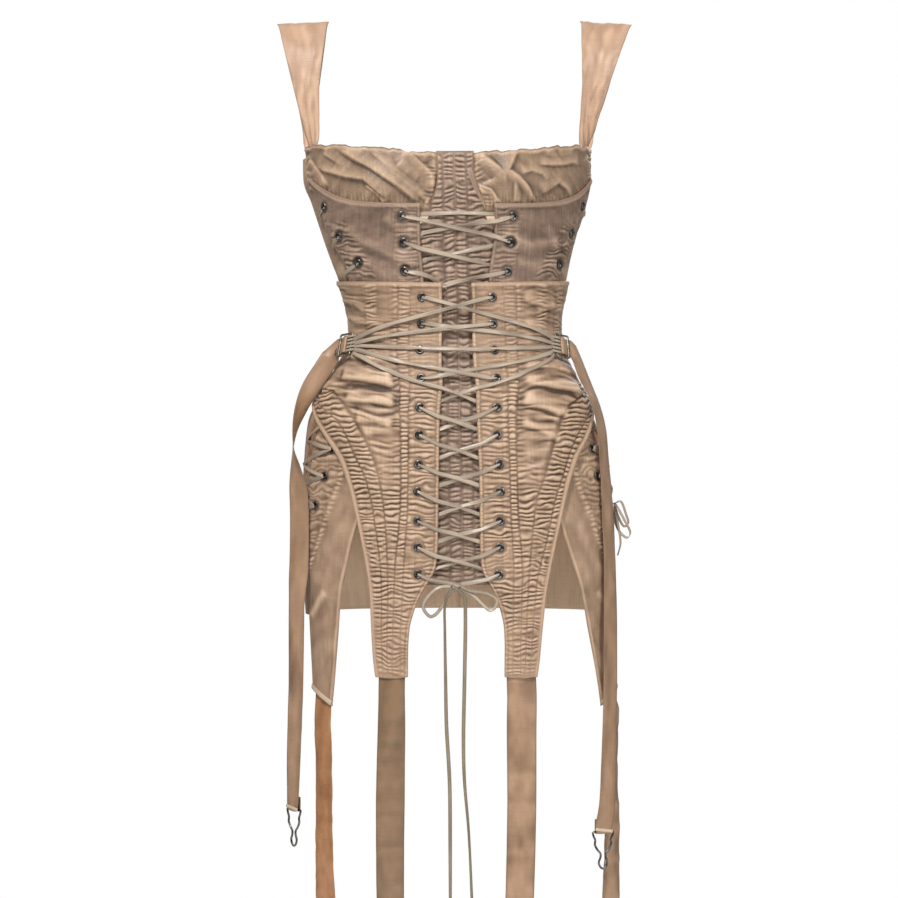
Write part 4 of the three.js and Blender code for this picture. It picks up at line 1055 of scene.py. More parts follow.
class CentreFront(ClothPiece):
    """The ruched panel behind the front lacing."""

    def place(self, h: Grid, v: Grid) -> tuple[Grid, Grid]:
        """Between the neckline and just under the last eyelets."""
        z = mix(-149.0, -603.0, v)
        return (h * 2 - 1) * CENTRE_EDGE.at(z), z

    def relief(self, u: Grid, z: Grid, h: Grid, v: Grid) -> tuple[Grid, Grid]:
        """Fine gathers in channels on both sides of a centre seam, with tapes up the bust."""
        edge = CENTRE_EDGE.at(z)
        seam = CENTRE_SEAM.at(z)
        lines = [-edge, seam - 12.5, seam, seam + 12.5, edge]
        number, share, near = between(u, lines)
        high = np.zeros_like(u)
        for k in range(6):
            row = ruched(u, z, 5.4 if k in (2, 3) else 6.2, 5.0 + 7 * k, 1.1)
            high = np.where(number == k, row, high)
        high *= 1.5 * np.sin(np.pi * np.clip(share, 0.07, 0.93)) ** 0.5
        rim = ease(0, 0.012, v) * ease(0, 0.02, 1 - v) * ease(0, 0.05, h) * ease(0, 0.05, 1 - h)
        high = high * mix(0.2, 1, rim) * mix(0.25, 1, ease(0.3, 2.0, near))
        seams = ridge(u - seam, 0.7) * 0.9
        tape = away_from(u, z, ((16, -171), (21, -188), (34, -212)))[0]
        high = np.where(tape < 3.4, mix(high, 0.9, ease(3.4, 2.4, tape)), high)
        return high, np.maximum(seams, 0.5 * ridge(near, 0.6))


CUP_FOLDS = {
    Side.LEFT: (
        Fold(((129, -143), (88, -167), (57, -189), (38, -204)), 2.6, 13, 0.9),
        Fold(((161, -163), (120, -174), (97, -178), (70, -201)), 2.3, 12, 0.9),
        Fold(((56, -146), (28, -172), (22, -191)), 2.6, 14, -0.86),
        Fold(((92, -147), (74, -164), (59, -178), (33, -201)), 1.9, 9.0, 0.9),
        Fold(((60, -156), (46, -164), (34, -172)), 2.4, 15.0),
        Fold(((150, -146), (132, -158), (118, -171)), 1.6, 9.0, 0.88),
        Fold(((174, -150), (160, -166), (150, -182)), 1.5, 8.0, -0.8),
        Fold(((45, -186), (36, -196), (31, -206)), 1.2, 5.0, 0.7),
        Fold(((98, -184), (84, -194), (75, -205)), 1.2, 6.0, 0.85),
    ),
    Side.RIGHT: (
        Fold(((64, -147), (56, -170), (68, -176), (86, -202)), 2.1, 8.5, 0.84),
        Fold(((26, -151), (50, -171), (60, -174)), 2.2, 11.0, 0.88),
        Fold(((90, -161), (120, -160), (150, -157)), 1.5, 9.0, -0.88),
        Fold(((90, -194), (119, -178), (139, -192)), 1.6, 9.5, -0.88),
        Fold(((21, -185), (36, -190), (46, -204)), 1.7, 7.0, 0.88),
        Fold(((52, -171), (40, -180), (26, -186)), 1.4, 7.5, -0.8),
        Fold(((60, -172), (62, -182), (60, -205)), 1.4, 6.0, -0.85),
        Fold(((68, -173), (82, -168), (96, -172), (104, -184)), 1.2, 8.5, -0.85),
        Fold(((160, -146), (170, -160), (174, -176)), 1.5, 8.0, 0.8),
        Fold(((96, -148), (110, -153), (140, -149)), 1.0, 6.0, -0.6),
    ),
}


class Cup(ClothPiece):
    """A soft cup of satin tucked up under the neckline."""

    def place(self, h: Grid, v: Grid) -> tuple[Grid, Grid]:
        """From the centre panel round to the side, tucked behind the bodice band, deepest under the arm."""
        top_u = mix(20.0, 181.0, h)
        wavy = 1.5 * GRAIN.at(top_u / 10, 7 + self.side) + 0.7 * GRAIN.at(top_u / 4, 9 + self.side)
        z = mix(CUP_TOP.at(top_u) + wavy, BODICE_TOP_EDGE.at(top_u) - CUP_TUCK - 12 * ease(150, 178, top_u), v)
        return mix(CENTRE_EDGE.at(z) + 0.45, BACK_EDGE.at(z) - 0.5, h), z

    def relief(self, u: Grid, z: Grid, h: Grid, v: Grid) -> tuple[Grid, Grid]:
        """Long tucks and small creases that the gathered seams throw."""
        side = Side(self.side)
        high = np.zeros_like(u)
        for fold in CUP_FOLDS[side]:
            wander = 2.2 * GRAIN.at(u / 16 + fold.high * 7, z / 16)
            high = np.maximum(high, fold.height(u + wander, z + wander)) + 0.2 * fold.height(u, z)
        key = 11.0 if side is Side.LEFT else 47.0
        crumple = GRAIN.at((u + z) / 11 + key, (u - z) / 30) * 0.6
        crumple = crumple + GRAIN.at((u + z) / 5 + key, (u - z) / 14) * 0.28
        high = high + 0.6 * np.clip(crumple + 0.35, 0, 1)
        pulled = ruched(z * 0.7 + key, u, 5.2, key) * 0.4 * ease(16, 3, np.abs(z - (BODICE_TOP_EDGE.at(u) - 2)))
        ends = ruched(u, z, 5.5, key + 3) * ease(16, 2, u - CENTRE_EDGE.at(z)) * 0.9
        high = high + pulled + ends + ruched(u, z, 7.0, key) * 1.2 * ease(162, 180, u)
        rim = ease(0, 0.035, v)
        hem = ridge(v - 0.045, 0.018)
        rolled = 1.3 * ridge(v - 0.05, 0.035) * (0.7 + 0.4 * GRAIN.at(u / 11 + key, 3))
        sewn = mix(0.3, 1, ease(0, 0.02, h) * ease(0, 0.02, 1 - h)) * mix(0.15, 1, ease(0.0, 0.12, 1 - v))
        high = (high + rolled) * mix(0.12, 1, rim) * sewn
        return high, 0.35 * hem + 0.6 * ease(0.02, 0, v)


BODICE_FOLDS = {
    Side.LEFT: (
        Fold(((124, -222), (100, -240), (58, -260), (36, -265)), 2.4, 10, 0.5),
        Fold(((128, -245), (96, -262), (66, -282)), 1.3, 7),
        Fold(((78, -214), (62, -228), (44, -233)), 0.9, 5),
    ),
    Side.RIGHT: (
        Fold(((44, -236), (78, -246), (116, -239)), 1.9, 9, 0.4),
        Fold(((60, -262), (90, -268), (112, -258)), 1.4, 8),
        Fold(((96, -222), (110, -246), (106, -276)), 1.2, 7),
    ),
}


class BodiceFront(ClothPiece):
    """The band under a cup, laced at the front and at the side."""

    def place(self, h: Grid, v: Grid) -> tuple[Grid, Grid]:
        """Between the folded top edge and the girdle."""
        top_u = mix(40.0, 176.0, h)
        z = mix(BODICE_TOP_EDGE.at(top_u), -296.0, v)
        return mix(BODICE_INNER.at(z), BODICE_OUTER.at(z), h), z

    def lift(self, u: Grid, z: Grid) -> Grid:
        """Low under the arm, high over the centre panel."""
        return bodice_lift(u, z)

    def relief(self, u: Grid, z: Grid, h: Grid, v: Grid) -> tuple[Grid, Grid]:
        """A folded top, casings beside the lacings and slack diagonal folds."""
        high = sum(fold.height(u, z) for fold in BODICE_FOLDS[Side(self.side)])
        inner, outer = BODICE_INNER.at(z), BODICE_OUTER.at(z)
        casing = ruched(u, z, 5.2, 3.0 + self.side) * (ease(30, 20, u - inner) * ease(1.5, 5, u - inner))
        loose = ease(40, 30, outer - u) * ease(0, 7, outer - u) * ease(-200, -240, z)
        casing = casing + 1.5 * ruched(u, z, 6.0, 9.0 + self.side, 1.6) * loose
        key = 60 + 9 * self.side
        slack = GRAIN.at(u / 18 + key, z / 12) * 0.45 + GRAIN.at(u / 7 + key, z / 5) * 0.18
        high = high + np.clip(slack + 0.3, 0, 1) + 0.75 * casing
        top = z - BODICE_TOP_EDGE.at(u)
        turned = 1.0 * ridge(top + 2.2, 2.0)
        high = high * clear_of(self.spots, u, z) * ease(0, 6, -top) + turned + 0.5 * ridge(u - inner - 1.5, 1.3)
        stitch = ridge(u - inner - 5, 0.5) + ridge(u - inner - 24, 0.5)
        edge = 0.8 * ease(4.2, 0, -top) + 0.5 * ease(2.4, 0, u - inner) + 0.5 * ease(2, 0, outer - u)
        return high, np.clip(edge + 0.3 * stitch, 0, 1)


class GirdleFront(ClothPiece):
    """The long front panel from the waist to the garter tab, ruched in sewn channels."""

    CASING = Line(((-280, 47), (-360, 50), (-450, 51.5), (-520, 53), (-600, 57), (-700, 58)))
    SHIRRED = Line(((-280, 60), (-360, 62), (-450, 59.5), (-520, 60.5), (-600, 66), (-700, 66)))
    INSIDE = {
        -1: Line(((-395, 150), (-421, 117), (-445, 101), (-468, 90), (-496, 82), (-540, 76), (-600, 73), (-700, 71))),
        1: Line(((-395, 158), (-403, 151), (-421, 116), (-445, 104), (-468, 96), (-492, 88), (-515, 80), (-600, 73),
                 (-700, 71))),
    }
    MIDDLE = {
        -1: Line(((-395, 181), (-408, 171), (-434, 126), (-470, 108), (-493, 97), (-535, 88), (-600, 80), (-700, 76))),
        1: Line(((-395, 183), (-417, 161), (-453, 125), (-492, 109), (-515, 101), (-556, 92), (-600, 82), (-700, 76))),
    }
    BINDING = Line(((-395, 9), (-430, 8), (-456, 7.5), (-493, 5.5), (-535, 3.5), (-700, 2.6)))
    SHIRRED_SEAM = Line(((-284, 91), (-360, 90), (-382, 88)))
    PITCHES = (4.4, 5.2, 4.5, 5.6, 5.0, 4.8, 9.0)

    def place(self, h: Grid, v: Grid) -> tuple[Grid, Grid]:
        """From the waist seam down to the end of the tab."""
        top_u = mix(15.6, 168.0, h)
        z = mix(GIRDLE_TOP_EDGE.at(top_u), -699.0 - 2 * np.sin(np.pi * h), v)
        return mix(GIRDLE_INNER.at(z), GIRDLE_OUTER.at(z), h), z

    def lift(self, u: Grid, z: Grid) -> Grid:
        """High over the lacing, down at the outer edge."""
        return girdle_lift(u, z)

    def relief(self, u: Grid, z: Grid, h: Grid, v: Grid) -> tuple[Grid, Grid]:
        """Ruching in channels, large soft folds at the hip and a bound outer edge."""
        inner, outer = GIRDLE_INNER.at(z), GIRDLE_OUTER.at(z)
        low = 1 - ease(-402, -396, z)
        tape = self.BINDING.at(z)
        binding = mix(outer + 60, outer - tape, low)
        middle = mix(outer + 40, np.minimum(self.MIDDLE[self.side].at(z), outer - 8), low)
        inside = mix(outer + 30, np.minimum(self.INSIDE[self.side].at(z), outer - 14), low)
        lines = [inner + 3.4, self.CASING.at(z), self.SHIRRED.at(z), inside, middle, binding]
        body = ease(0, 12, u - lines[2]) * ease(-530, -455, z)
        calm = clear_of(self.spots, u, z)
        high = self.ruching(u, z, lines, body) * mix(0.3, 1, calm) + self.soft_folds(u, z, inside, body)
        top = GIRDLE_TOP_EDGE.at(u) - z
        high = high * ease(0, 5, top) * mix(0.35, 1, ease(0, 5, z + 699)) * calm
        high = high * ease(-1, 2.5, u - inner) * ease(0, 3, outer - u)
        bound = 1.5 * np.exp(-np.abs((u - outer + tape / 2) / (tape / 2 + 0.4)) ** 3) * low
        high = high + bound + 0.9 * ridge(top - 2.2, 2.0) + 0.4 * ridge(u - inner - 1.3, 1.1)
        edge = 0.55 * ease(3.6, 0, top) + 0.35 * ease(2, 0, u - inner) + 0.7 * ease(7, 3, outer - u) * low
        return high, np.clip(edge, 0, 1)

    def ruching(self, u: Grid, z: Grid, lines: list[Grid], body: Grid) -> Grid:
        """The gathers between the stitch lines.

        Args:
            u: girth distances.
            z: heights.
            lines: the stitch lines, from the lacing outwards.
            body: 1 where the third channel's cloth lies almost plain.

        Returns:
            Their height at each place.
        """
        number, share, near = between(u, lines)
        high = np.zeros_like(u)
        for k, pitch in enumerate(self.PITCHES):
            high = np.where(number == k, ruched(u, z, pitch, 13.0 * k + 2 * self.side, 0.9), high)
        high = mix(high, ruched(u, z, 4.9, 13.0 + 2 * self.side, 1.2), 0.85 * ease(-530, -600, z))
        taped = number >= len(lines)
        reach = np.where(number == 3, 1 - 0.94 * body, 1.0)
        reach = np.where((number == 1) & (z > -400), 0.42, reach)
        reach = np.where((number == 2) & (z > -392), 0.5, reach)
        reach = np.where(taped, 0.08, reach) * mix(1.0, 0.75, ease(-620, -690, z))
        profile = np.sin(np.pi * np.clip(share, 0.06, 0.94)) ** mix(0.4, 0.2, ease(-500, -610, z))
        tall = np.where(u < 46, mix(1.4, 1.1, ease(-400, -380, z)), mix(1.9, 1.5, ease(-560, -640, z)))
        sewn = mix(0.25, 0.62, ease(-500, -610, z))
        return tall * high * reach * np.where(taped, 1, profile) * mix(sewn, 1, ease(0.2, 1.6, near))

    def soft_folds(self, u: Grid, z: Grid, inside: Grid, body: Grid) -> Grid:
        """The slack cloth over the hip, its large folds and the shirred seam above it.

        Args:
            u: girth distances.
            z: heights.
            inside: the seam that parts it from the outer channels.
            body: 1 where the cloth lies almost plain.

        Returns:
            Their height at each place.
        """
        key = 30 + 5 * self.side
        slack = GRAIN.at(u / 40 + key, z / 10 + 3) * 0.8 + GRAIN.at(u / 16 + key, z / 6) * 0.25
        drawn = ruched(u * 0.42, z + 5 * np.sin(u / 23 + self.side), 11.5, 17.0 + key, 1.0)
        soft = np.clip(slack + 0.35, 0, 1.4) * 1.1 + drawn * mix(0.8, 1.2, ease(-372, -400, z))
        high = soft * ease(56, 76, u) * body * ease(0, 8, inside - u) * mix(0.75, 1.0, ease(-360, -395, z))
        for fold in self.folds():
            high = high + fold.height(u, z) * ease(60, 72, u)
        seam = self.SHIRRED_SEAM.at(z)
        high = high + ruched(u, z, 4.6, 71.0) * np.exp(-((u - seam) / 7) ** 4) * ease(-385, -368, z)
        if self.side > 0:
            row = np.exp(-((u - seam - 26) / 6) ** 4) * ease(-372, -350, z)
            high = high + 0.9 * ruched(u, z, 4.8, 91.0) * row
        return high

    def folds(self) -> tuple[Fold, ...]:
        """The large soft folds at the side of the lacing."""
        if self.side < 0:
            return (Fold(((132, -388), (95, -391), (64, -396)), 3.8, 10.0, 0.86),
                    Fold(((122, -411), (90, -413), (62, -417)), 2.6, 8.5, 0.86),
                    Fold(((108, -431), (84, -433), (66, -438)), 2.0, 8.0, 0.84),
                    Fold(((150, -370), (120, -365), (70, -372)), 1.6, 8.0, 0.8),
                    Fold(((140, -318), (110, -326), (72, -330)), 1.2, 7.5, 0.7),
                    Fold(((150, -300), (112, -304), (96, -316)), 1.1, 7.0, 0.7))
        return (Fold(((64, -391), (95, -397), (146, -404)), 3.2, 10.0, -0.8),
                Fold(((62, -412), (90, -418), (120, -427)), 2.3, 9.0, -0.78),
                Fold(((62, -434), (84, -441), (108, -453)), 1.7, 8.5, -0.76),
                Fold(((64, -376), (110, -378), (152, -386)), 1.7, 8.0, -0.8),
                Fold(((66, -300), (92, -310), (112, -306)), 1.2, 7.5, -0.7),
                Fold(((66, -326), (96, -338), (130, -344)), 1.1, 7.0, -0.7))


class SideHip(ClothPiece):
    """The hip piece, with its rear slit laced, ending in the side garter tab."""

    CASING = Line(((-400, 120), (-483, 126.5), (-520, 140.5), (-558, 158.6), (-578, 171.6), (-600, 186)))

    def place(self, h: Grid, v: Grid) -> tuple[Grid, Grid]:
        """From under the girdle down to the tab's end, swung a little round the leg."""
        z = mix(-400.0, mix(-733.0, -716.0, h), v)
        return mix(HIP_INNER.at(z), HIP_OUTER.at(z), h) + tab_swing(self.side, z), z

    def relief(self, u: Grid, z: Grid, h: Grid, v: Grid) -> tuple[Grid, Grid]:
        """A gathered casing beside the slit and soft pulls on the tab."""
        swung = u - tab_swing(self.side, z)
        outer, inner = HIP_OUTER.at(z), HIP_INNER.at(z)
        casing = self.CASING.at(z)
        seam = ridge(swung - casing, 3.4) * ease(-600, -585, z)
        upper = ease(0, 10, swung - casing) * ease(-600, -560, z)
        high = 0.8 * ruched(swung, z, 6.5, 21.0 + self.side, 1.2) * upper
        high = high + 1.6 * ruched(swung, z, 5.2, 4.0, 1.0) * seam
        key = 80 + 7 * self.side
        pull = GRAIN.at((swung + z * 0.6) / 13 + key, (z - swung * 0.6) / 26) * 0.6
        pull = pull + GRAIN.at(swung / 7 + key, z / 16) * 0.22
        high = high + np.clip(pull + 0.35, 0, 1.2) * (1 - 0.6 * upper)
        high = high + Fold(((150, -610), (176, -636), (186, -640)), 1.2, 5).height(swung, z)
        calm = clear_of(self.spots, u, z) * ease(0, 4, -394 - z)
        high = high * ease(0, 4, outer - swung) * ease(0, 3, swung - inner) * calm
        edge = 0.45 * ease(3, 0, outer - swung) + 0.35 * ease(2.4, 0, swung - inner) + 0.5 * ease(0.015, 0, 1 - v)
        return high + 0.5 * ridge(swung - inner - 2, 1.6), np.clip(edge, 0, 1)


class Back(ClothPiece):
    """Half of the back, finished plainly with two long seams."""

    def place(self, h: Grid, v: Grid) -> tuple[Grid, Grid]:
        """From the side edge round to the centre back seam, with its neckline dipped."""
        level = mix(-150.0, -638.0, v)
        front = BACK_EDGE.at(level) + tab_swing(self.side, level) * ease(-560, -600, level)
        z = level - 12 * ease(0.15, 1, h) * ease(-215, -150, level)
        return mix(front, FIGURE.half_girth(self.side, z) - SEAM / 2, h), z

    def relief(self, u: Grid, z: Grid, h: Grid, v: Grid) -> tuple[Grid, Grid]:
        """Princess seams with the light drag lines of a fitted cloth."""
        full = FIGURE.half_girth(self.side, z)
        seam = full * 0.80
        near = np.abs(u - seam)
        key = 14 + 60 * (self.side > 0)
        drag = GRAIN.at(u / 30 + key, z / 13) * 0.45 + GRAIN.at(u / 11 + key, z / 7) * 0.2
        tight = ease(-420, -340, z) * ease(-230, -280, z)
        high = np.clip(drag + 0.25, 0, 1) * mix(0.6, 1.5, tight)
        high = high + 0.5 * ruched(u, z, 6.5, 33.0) * ridge(near, 7)
        rim = ease(0, 0.02, v) * ease(0, 0.02, 1 - v) * ease(0, 3, full - u)
        high = high * mix(0.1, 1, ease(0.3, 2.2, near)) * rim
        front = BACK_EDGE.at(z)
        high = high * ease(0, 5, u - front) * 0.8
        hem = ridge(z + 632, 0.6) + ridge(near, 0.5) * 0.7
        edge = 0.5 * hem + 0.6 * ease(0.012, 0, v) + 0.6 * ease(0.008, 0, 1 - v) + 0.4 * ease(1.5, 0, full - u)
        return high, np.clip(edge, 0, 1)


@dataclass
class LaceTails:
    """The two free ends of the lace below the knot."""

    starts: dict[str, Rows] = field(default_factory=lambda: {
        "left": ((-1.1, -1.6, -608.0), (-8.2, -2, -614.5), (-10.8, -1.4, -625.3), (-10.8, -1, -650), (-10, 0, -703),
                 (-9.1, 0, -749.5), (-5.9, 0.6, -807.8), (-5.2, 1, -880), (-5.1, 1, HANG_END)),
        "right": ((2.9, -1.6, -607.9), (9.6, -1.6, -615.5), (10.6, -0.6, -634), (9.7, 0.2, -703), (8.6, 1, -767.9),
                  (9.7, 1, -807.8), (14, 0.6, -859.7), (17.9, 0, -946), (19, 0, HANG_END)),
    })

    def build(self, finish: bpy.types.Material) -> None:
        for name, rows in self.starts.items():
            route = bow_route(rows, 90)
            twist = 0.45 * np.sin(route.run() / 58 + (1.2 if name == "left" else 3.0))
            lace = band(route.twisted(twist), LACE_WIDE, LACE_THICK, 4, 0.25)
            piece = declare(lace.as_object(f"lace_tail_{name}_cord", finish), Slot.LACE, f"lace_tail_{name}")
            float(route.run()[-1]) * MM


def knot_point() -> np.ndarray:
    """The middle of the knot at the foot of the lacing."""
    return FIGURE.place(1, -1.9, -604.0, LACE_LIFT)[0]


def bow_route(rows: Rows, count: int) -> Route:
    """A free stretch of lace from places in X and Z with Y off the knot."""
    rows = np.asarray(rows, float)
    depth = knot_point()[1]
    points = rows + np.array([0, depth, 0])
    way = np.stack([np.roll(rows, -1, 0)[k] - np.roll(rows, 1, 0)[k] for k in range(len(rows))])
    way[0], way[-1] = rows[1] - rows[0], rows[-1] - rows[-2]
    way = unit(way * (1, 0, 1))
    across = np.stack([way[:, 2] * 0.9, np.full(len(rows), 0.42), -way[:, 0] * 0.9], 1)
    return Route(catmull(points, count), catmull(across, count))


def lace_width(keys: Grid, spots: Spots) -> Grid:
    """The lace's width, drawn in where it dives through an eyelet."""
    return LACE_WIDE * mix(0.68, 1.22, ease(0.5, 12, from_eyelets(spots, np.abs(keys[:, 0]), keys[:, 1])))


@dataclass
class Lacing:
    """All the flat lacing that is threaded through the dress, its knot and bow."""

    finish: bpy.types.Material
    slides: Rows = ((-1, 122.0, -355.0), (1, 113.0, -356.0))
    slide_lift: float = 14.3
    under: float = GIRDLE_LIFT - 1.5
    lean: float = 0.33
    turn: float = 0.42
    loops: dict[str, Rows] = field(default_factory=lambda: {
        "left": ((-5, -1, -604), (-18.4, -2.6, -606), (-32.4, -2.2, -621), (-32.9, -0.6, -628), (-26, 1.8, -636),
                 (-20.6, 2.8, -634), (-13, 3.6, -624), (-3, 1.6, -605)),
        "right": ((5, -1, -604), (15, -3, -608.5), (33, -4.6, -611.5), (43.2, -4.6, -618), (42, -4.2, -625.3),
                  (36.5, -3.6, -629), (29.5, -2.6, -624), (18.5, -1, -613.5), (4, 0.4, -605)),
    })
    hip_bow: tuple[Rows, ...] = (
        ((170.5, -24, -519), (175, -30, -526), (181.5, -32, -538), (187.5, -30, -551), (184.5, -29, -556),
         (178, -29, -552), (172, -27, -541), (170.5, -24, -524)),
        ((170.5, -24, -520), (177, -28, -517), (183, -28, -531), (185.5, -27, -541), (181, -27, -544),
         (175, -26, -534), (171, -24, -522)),
        ((171, -25, -522), (174, -29, -540), (177, -30, -562), (174, -30, -575)),
    )

    def seat(self, side: int, u: float, z: float) -> Seat:
        """Where a slide's middle stands, with its normal, upward and sideways directions."""
        point, normal, up, across = FIGURE.stand(side, u, z, self.slide_lift, -side * self.lean)
        normal = normal * math.cos(self.turn) - side * across * math.sin(self.turn)
        return point, normal, up, np.cross(up, normal)

    def strand(self, rows: Rows, spots: Spots, key: float = 0.0) -> Surface:
        """One stretch of lace over the cloth.

        Args:
            rows: signed girth distance, height and lift.
            spots: the eyelets that it dives through.
            key: sets its small ripples apart.

        Returns:
            Its surface.
        """
        route, keys = lay(rows)
        run = route.run()
        turn = 0.42 * np.sin(run / 17 + key * 1.9) + 0.22 * np.sin(run / 7.3 + key)
        wide = lace_width(keys, spots) * (1 + 0.1 * np.sin(run / 23 + key * 2.3))

        def ripple(along: Grid, off: Grid) -> Grid:
            """A faint waver along the lace and across it."""
            return 0.14 * np.sin(along / 7.5 + key) + 0.12 * np.cos(off * 2.4 + key)

        return band(route.twisted(turn), wide, 0.6, 6, 0.12, ripple, 0.45)

    def bodice(self) -> None:
        """The short lacing of the band under the cups."""
        high, low = BODICE_LIFT + CLOTH + EYELET_RISE + 0.7, BODICE_LIFT - 0.95
        (u1, z1), (u2, z2), (u3, z3) = BODICE_EYELETS
        b1, b2 = float(BODICE_INNER.at(-220)), float(BODICE_INNER.at(-255))
        one = ((6, z1 + 2, low), (-u1, z1, low), (-u1, z1, high), (-b1 - 1, z1 - 4, high), (0, -229, high),
               (b1 + 1, -237, high), (u2, z2, high), (u2, z2, low), (b2 - 4, -248, low), (-b2 + 4, -262, low),
               (-u3, z3, low), (-u3, z3, high), (-b2 + 1, -276.6, high - 0.5), (-27, -280, 4.8), (-23, -283.5, 3.5),
               (-10, -291, 3.5))
        two = ((-6, z1 + 2, low), (u1, z1, low), (u1, z1, high), (b1 + 1, z1 - 5, high), (0, -227, high - 1.2),
               (-b1 + 4, -234, low), (-u2, z2, low), (-u2, z2, high), (-b2 - 1, -250, high), (b2 - 4, -267, low),
               (u3, z3, low), (u3, z3, high), (b2 + 1, -277.4, high - 0.5), (26, -279.5, 4.8), (0, -285, 3.9),
               (-26, -293, 3.5))
        parts = [self.strand(one, BODICE_EYELETS), self.strand(two, BODICE_EYELETS, 2.0)]
        for side in Side:
            for k, (u, z) in enumerate(SIDE_EYELETS[side]):
                lift = float(bodice_lift(u, z)) + CLOTH + EYELET_RISE + 0.5
                beyond = float(BODICE_OUTER.at(z - 9)) + 5
                n = side.value
                rows = ((n * u, z, lift - 2.6), (n * (u + 3), z - 2, lift), (n * beyond, z - 10, CLOTH + 2.6))
                parts.append(self.strand(rows, SIDE_EYELETS[side], 3.0 * k))
        declare(Surface.joined(parts).as_object("lace_bodice_cord", self.finish), Slot.LACE, "lace_bodice")

    def wrap(self, side: int, u: float, z: float, shift: float) -> Surface:
        """One turn of lace round the slide's inner bar, at a place up or down it."""
        point, normal, up, across = self.seat(side, u, z)
        middle = point - side * across * SLIDE.reach + up * shift
        out, rise = SLIDE.bar / 2 + 0.55, SLIDE.thick / 2 + 0.6
        rows = ((-4.6, -1), (out, -1), (4.4, -0.5), (4.4, 0.5), (out, 1), (-3.4, 1), (-5.4, 1))
        points = np.array([middle + across * side * a + normal * rise * b for a, b in rows])
        return band(Route(catmull(points, 28), np.repeat(up[None], 29, 0)), 2.7, LACE_THICK, 4, 0.1)

    def girdle(self) -> None:
        """The fans to the slides, the lacing down the front, the knot and the bow."""
        parts = []
        for side, seat_u, seat_z in self.slides:
            parts += self.fan(side, seat_u, seat_z) + self.crossings(side)
        parts += self.knot()
        for rows in self.loops.values():
            parts.append(band(bow_route(rows, 56), LACE_WIDE, LACE_THICK, 4, 0.3))
        declare(Surface.joined(parts).as_object("lace_girdle_cord", self.finish), Slot.LACE, "lace_girdle")

    def fan(self, side: int, seat_u: float, seat_z: float) -> list[Surface]:
        """The turns of lace round a slide's bar, and the five stretches that fan out from them to the waist.

        Args:
            side: 1 on the right and -1 on the left.
            seat_u: the slide's girth distance.
            seat_z: its height.

        Returns:
            The surfaces.
        """
        eyelets = GIRDLE_EYELETS
        high, low = LACE_LIFT + (0.75 if side < 0 else 0), self.under
        shifts = [8.4 - 4.2 * k for k in range(5)]
        parts = [self.wrap(side, seat_u, seat_z, shift) for shift in shifts]
        starts = [(side * (seat_u - 8.9), seat_z + shift, self.slide_lift - 4.0) for shift in shifts]
        for k, start in enumerate(starts[:4]):
            u, z = eyelets[k]
            parts.append(self.strand((
                start, (side * 99, mix(start[1], z, 0.1), high + 1.4), (side * 84, mix(start[1], z, 0.24), high + 0.7),
                (side * 62, mix(start[1], z, 0.42), high + 0.3), (-side * (u - 6), z - 0.5, high),
                (-side * u, z, high), (-side * u, z, low)), eyelets, k + 3.0 * side))
            if k % 2 == 0:
                nu, nz = eyelets[k + 1]
                parts.append(self.strand(((-side * u, z + 1, low + 0.1), (-side * nu, nz - 1, low + 0.1)), eyelets))
        u, z = eyelets[4]
        over, under = (float(GIRDLE_INNER.at(at)) for at in (-396, -411))
        parts.append(self.strand((
            starts[4], (side * 99, -369, high + 1.4), (side * 84, -376, high + 0.7), (side * 62, -386, high + 0.3),
            (side * 40, -394, high), (side * (over + 1), -399, high), (0, -405, mix(high, low, 0.5) - side * 0.2),
            (-side * (under - 3), -411, low), (-side * (u - 1), z, low), (-side * u, z, low),
            (-side * u, z, LACE_LIFT)), eyelets, 5.0))
        return parts

    def crossings(self, side: int) -> list[Surface]:
        """The lace of one slide from the fifth eyelet down to the knot, crossing over at each step."""
        eyelets, low, at, parts = GIRDLE_EYELETS, self.under, -side, []
        for k in range(4, len(eyelets) - 1):
            (u, z), (nu, nz) = eyelets[k], eyelets[k + 1]
            over, under = (float(GIRDLE_INNER.at(z - drop)) for drop in (8, 20))
            parts.append(self.strand((
                (at * u, z, LACE_LIFT), (at * (over + 1), mix(z, nz, 0.32), LACE_LIFT),
                (0, mix(z, nz, 0.52), mix(LACE_LIFT, low, 0.5) - at * 0.45),
                (-at * (under - 3), mix(z, nz, 0.75), low), (-at * (nu - 1), nz, low), (-at * nu, nz, low),
                (-at * nu, nz, LACE_LIFT)), eyelets, k * 1.3))
            at = -at
        u, z = eyelets[-1]
        last = ((at * u, z, LACE_LIFT), (at * 31, z - 5, LACE_LIFT), (at * 2, -603, LACE_LIFT))
        parts.append(self.strand(last, eyelets))
        return parts

    def knot(self) -> list[Surface]:
        """The knot, as three turns of the lace pulled tight round each other."""
        centre = knot_point()
        turns = []
        for tilt, wide, tall, shift in ((0.25, 4.6, 3.0, 0.0), (-0.5, 3.6, 3.4, 0.9), (1.45, 3.4, 2.4, -0.6)):
            t = np.linspace(0, 2 * np.pi, 31)
            ring = np.stack([np.cos(t) * wide, -np.sin(t) * 2.1 - shift * 0.4, np.sin(t * 2) * 0.35], 1)
            c, s = math.cos(tilt), math.sin(tilt)
            x, y, z = ring.T
            turned = np.stack([x * c - z * s, y, x * s + z * c + shift], 1)
            across = np.repeat(np.array([[-s, 0.0, c]]), 31, 0)
            turns.append(band(Route(turned + centre, across), tall + 0.6, 0.8, 4, 0.5))
        return turns

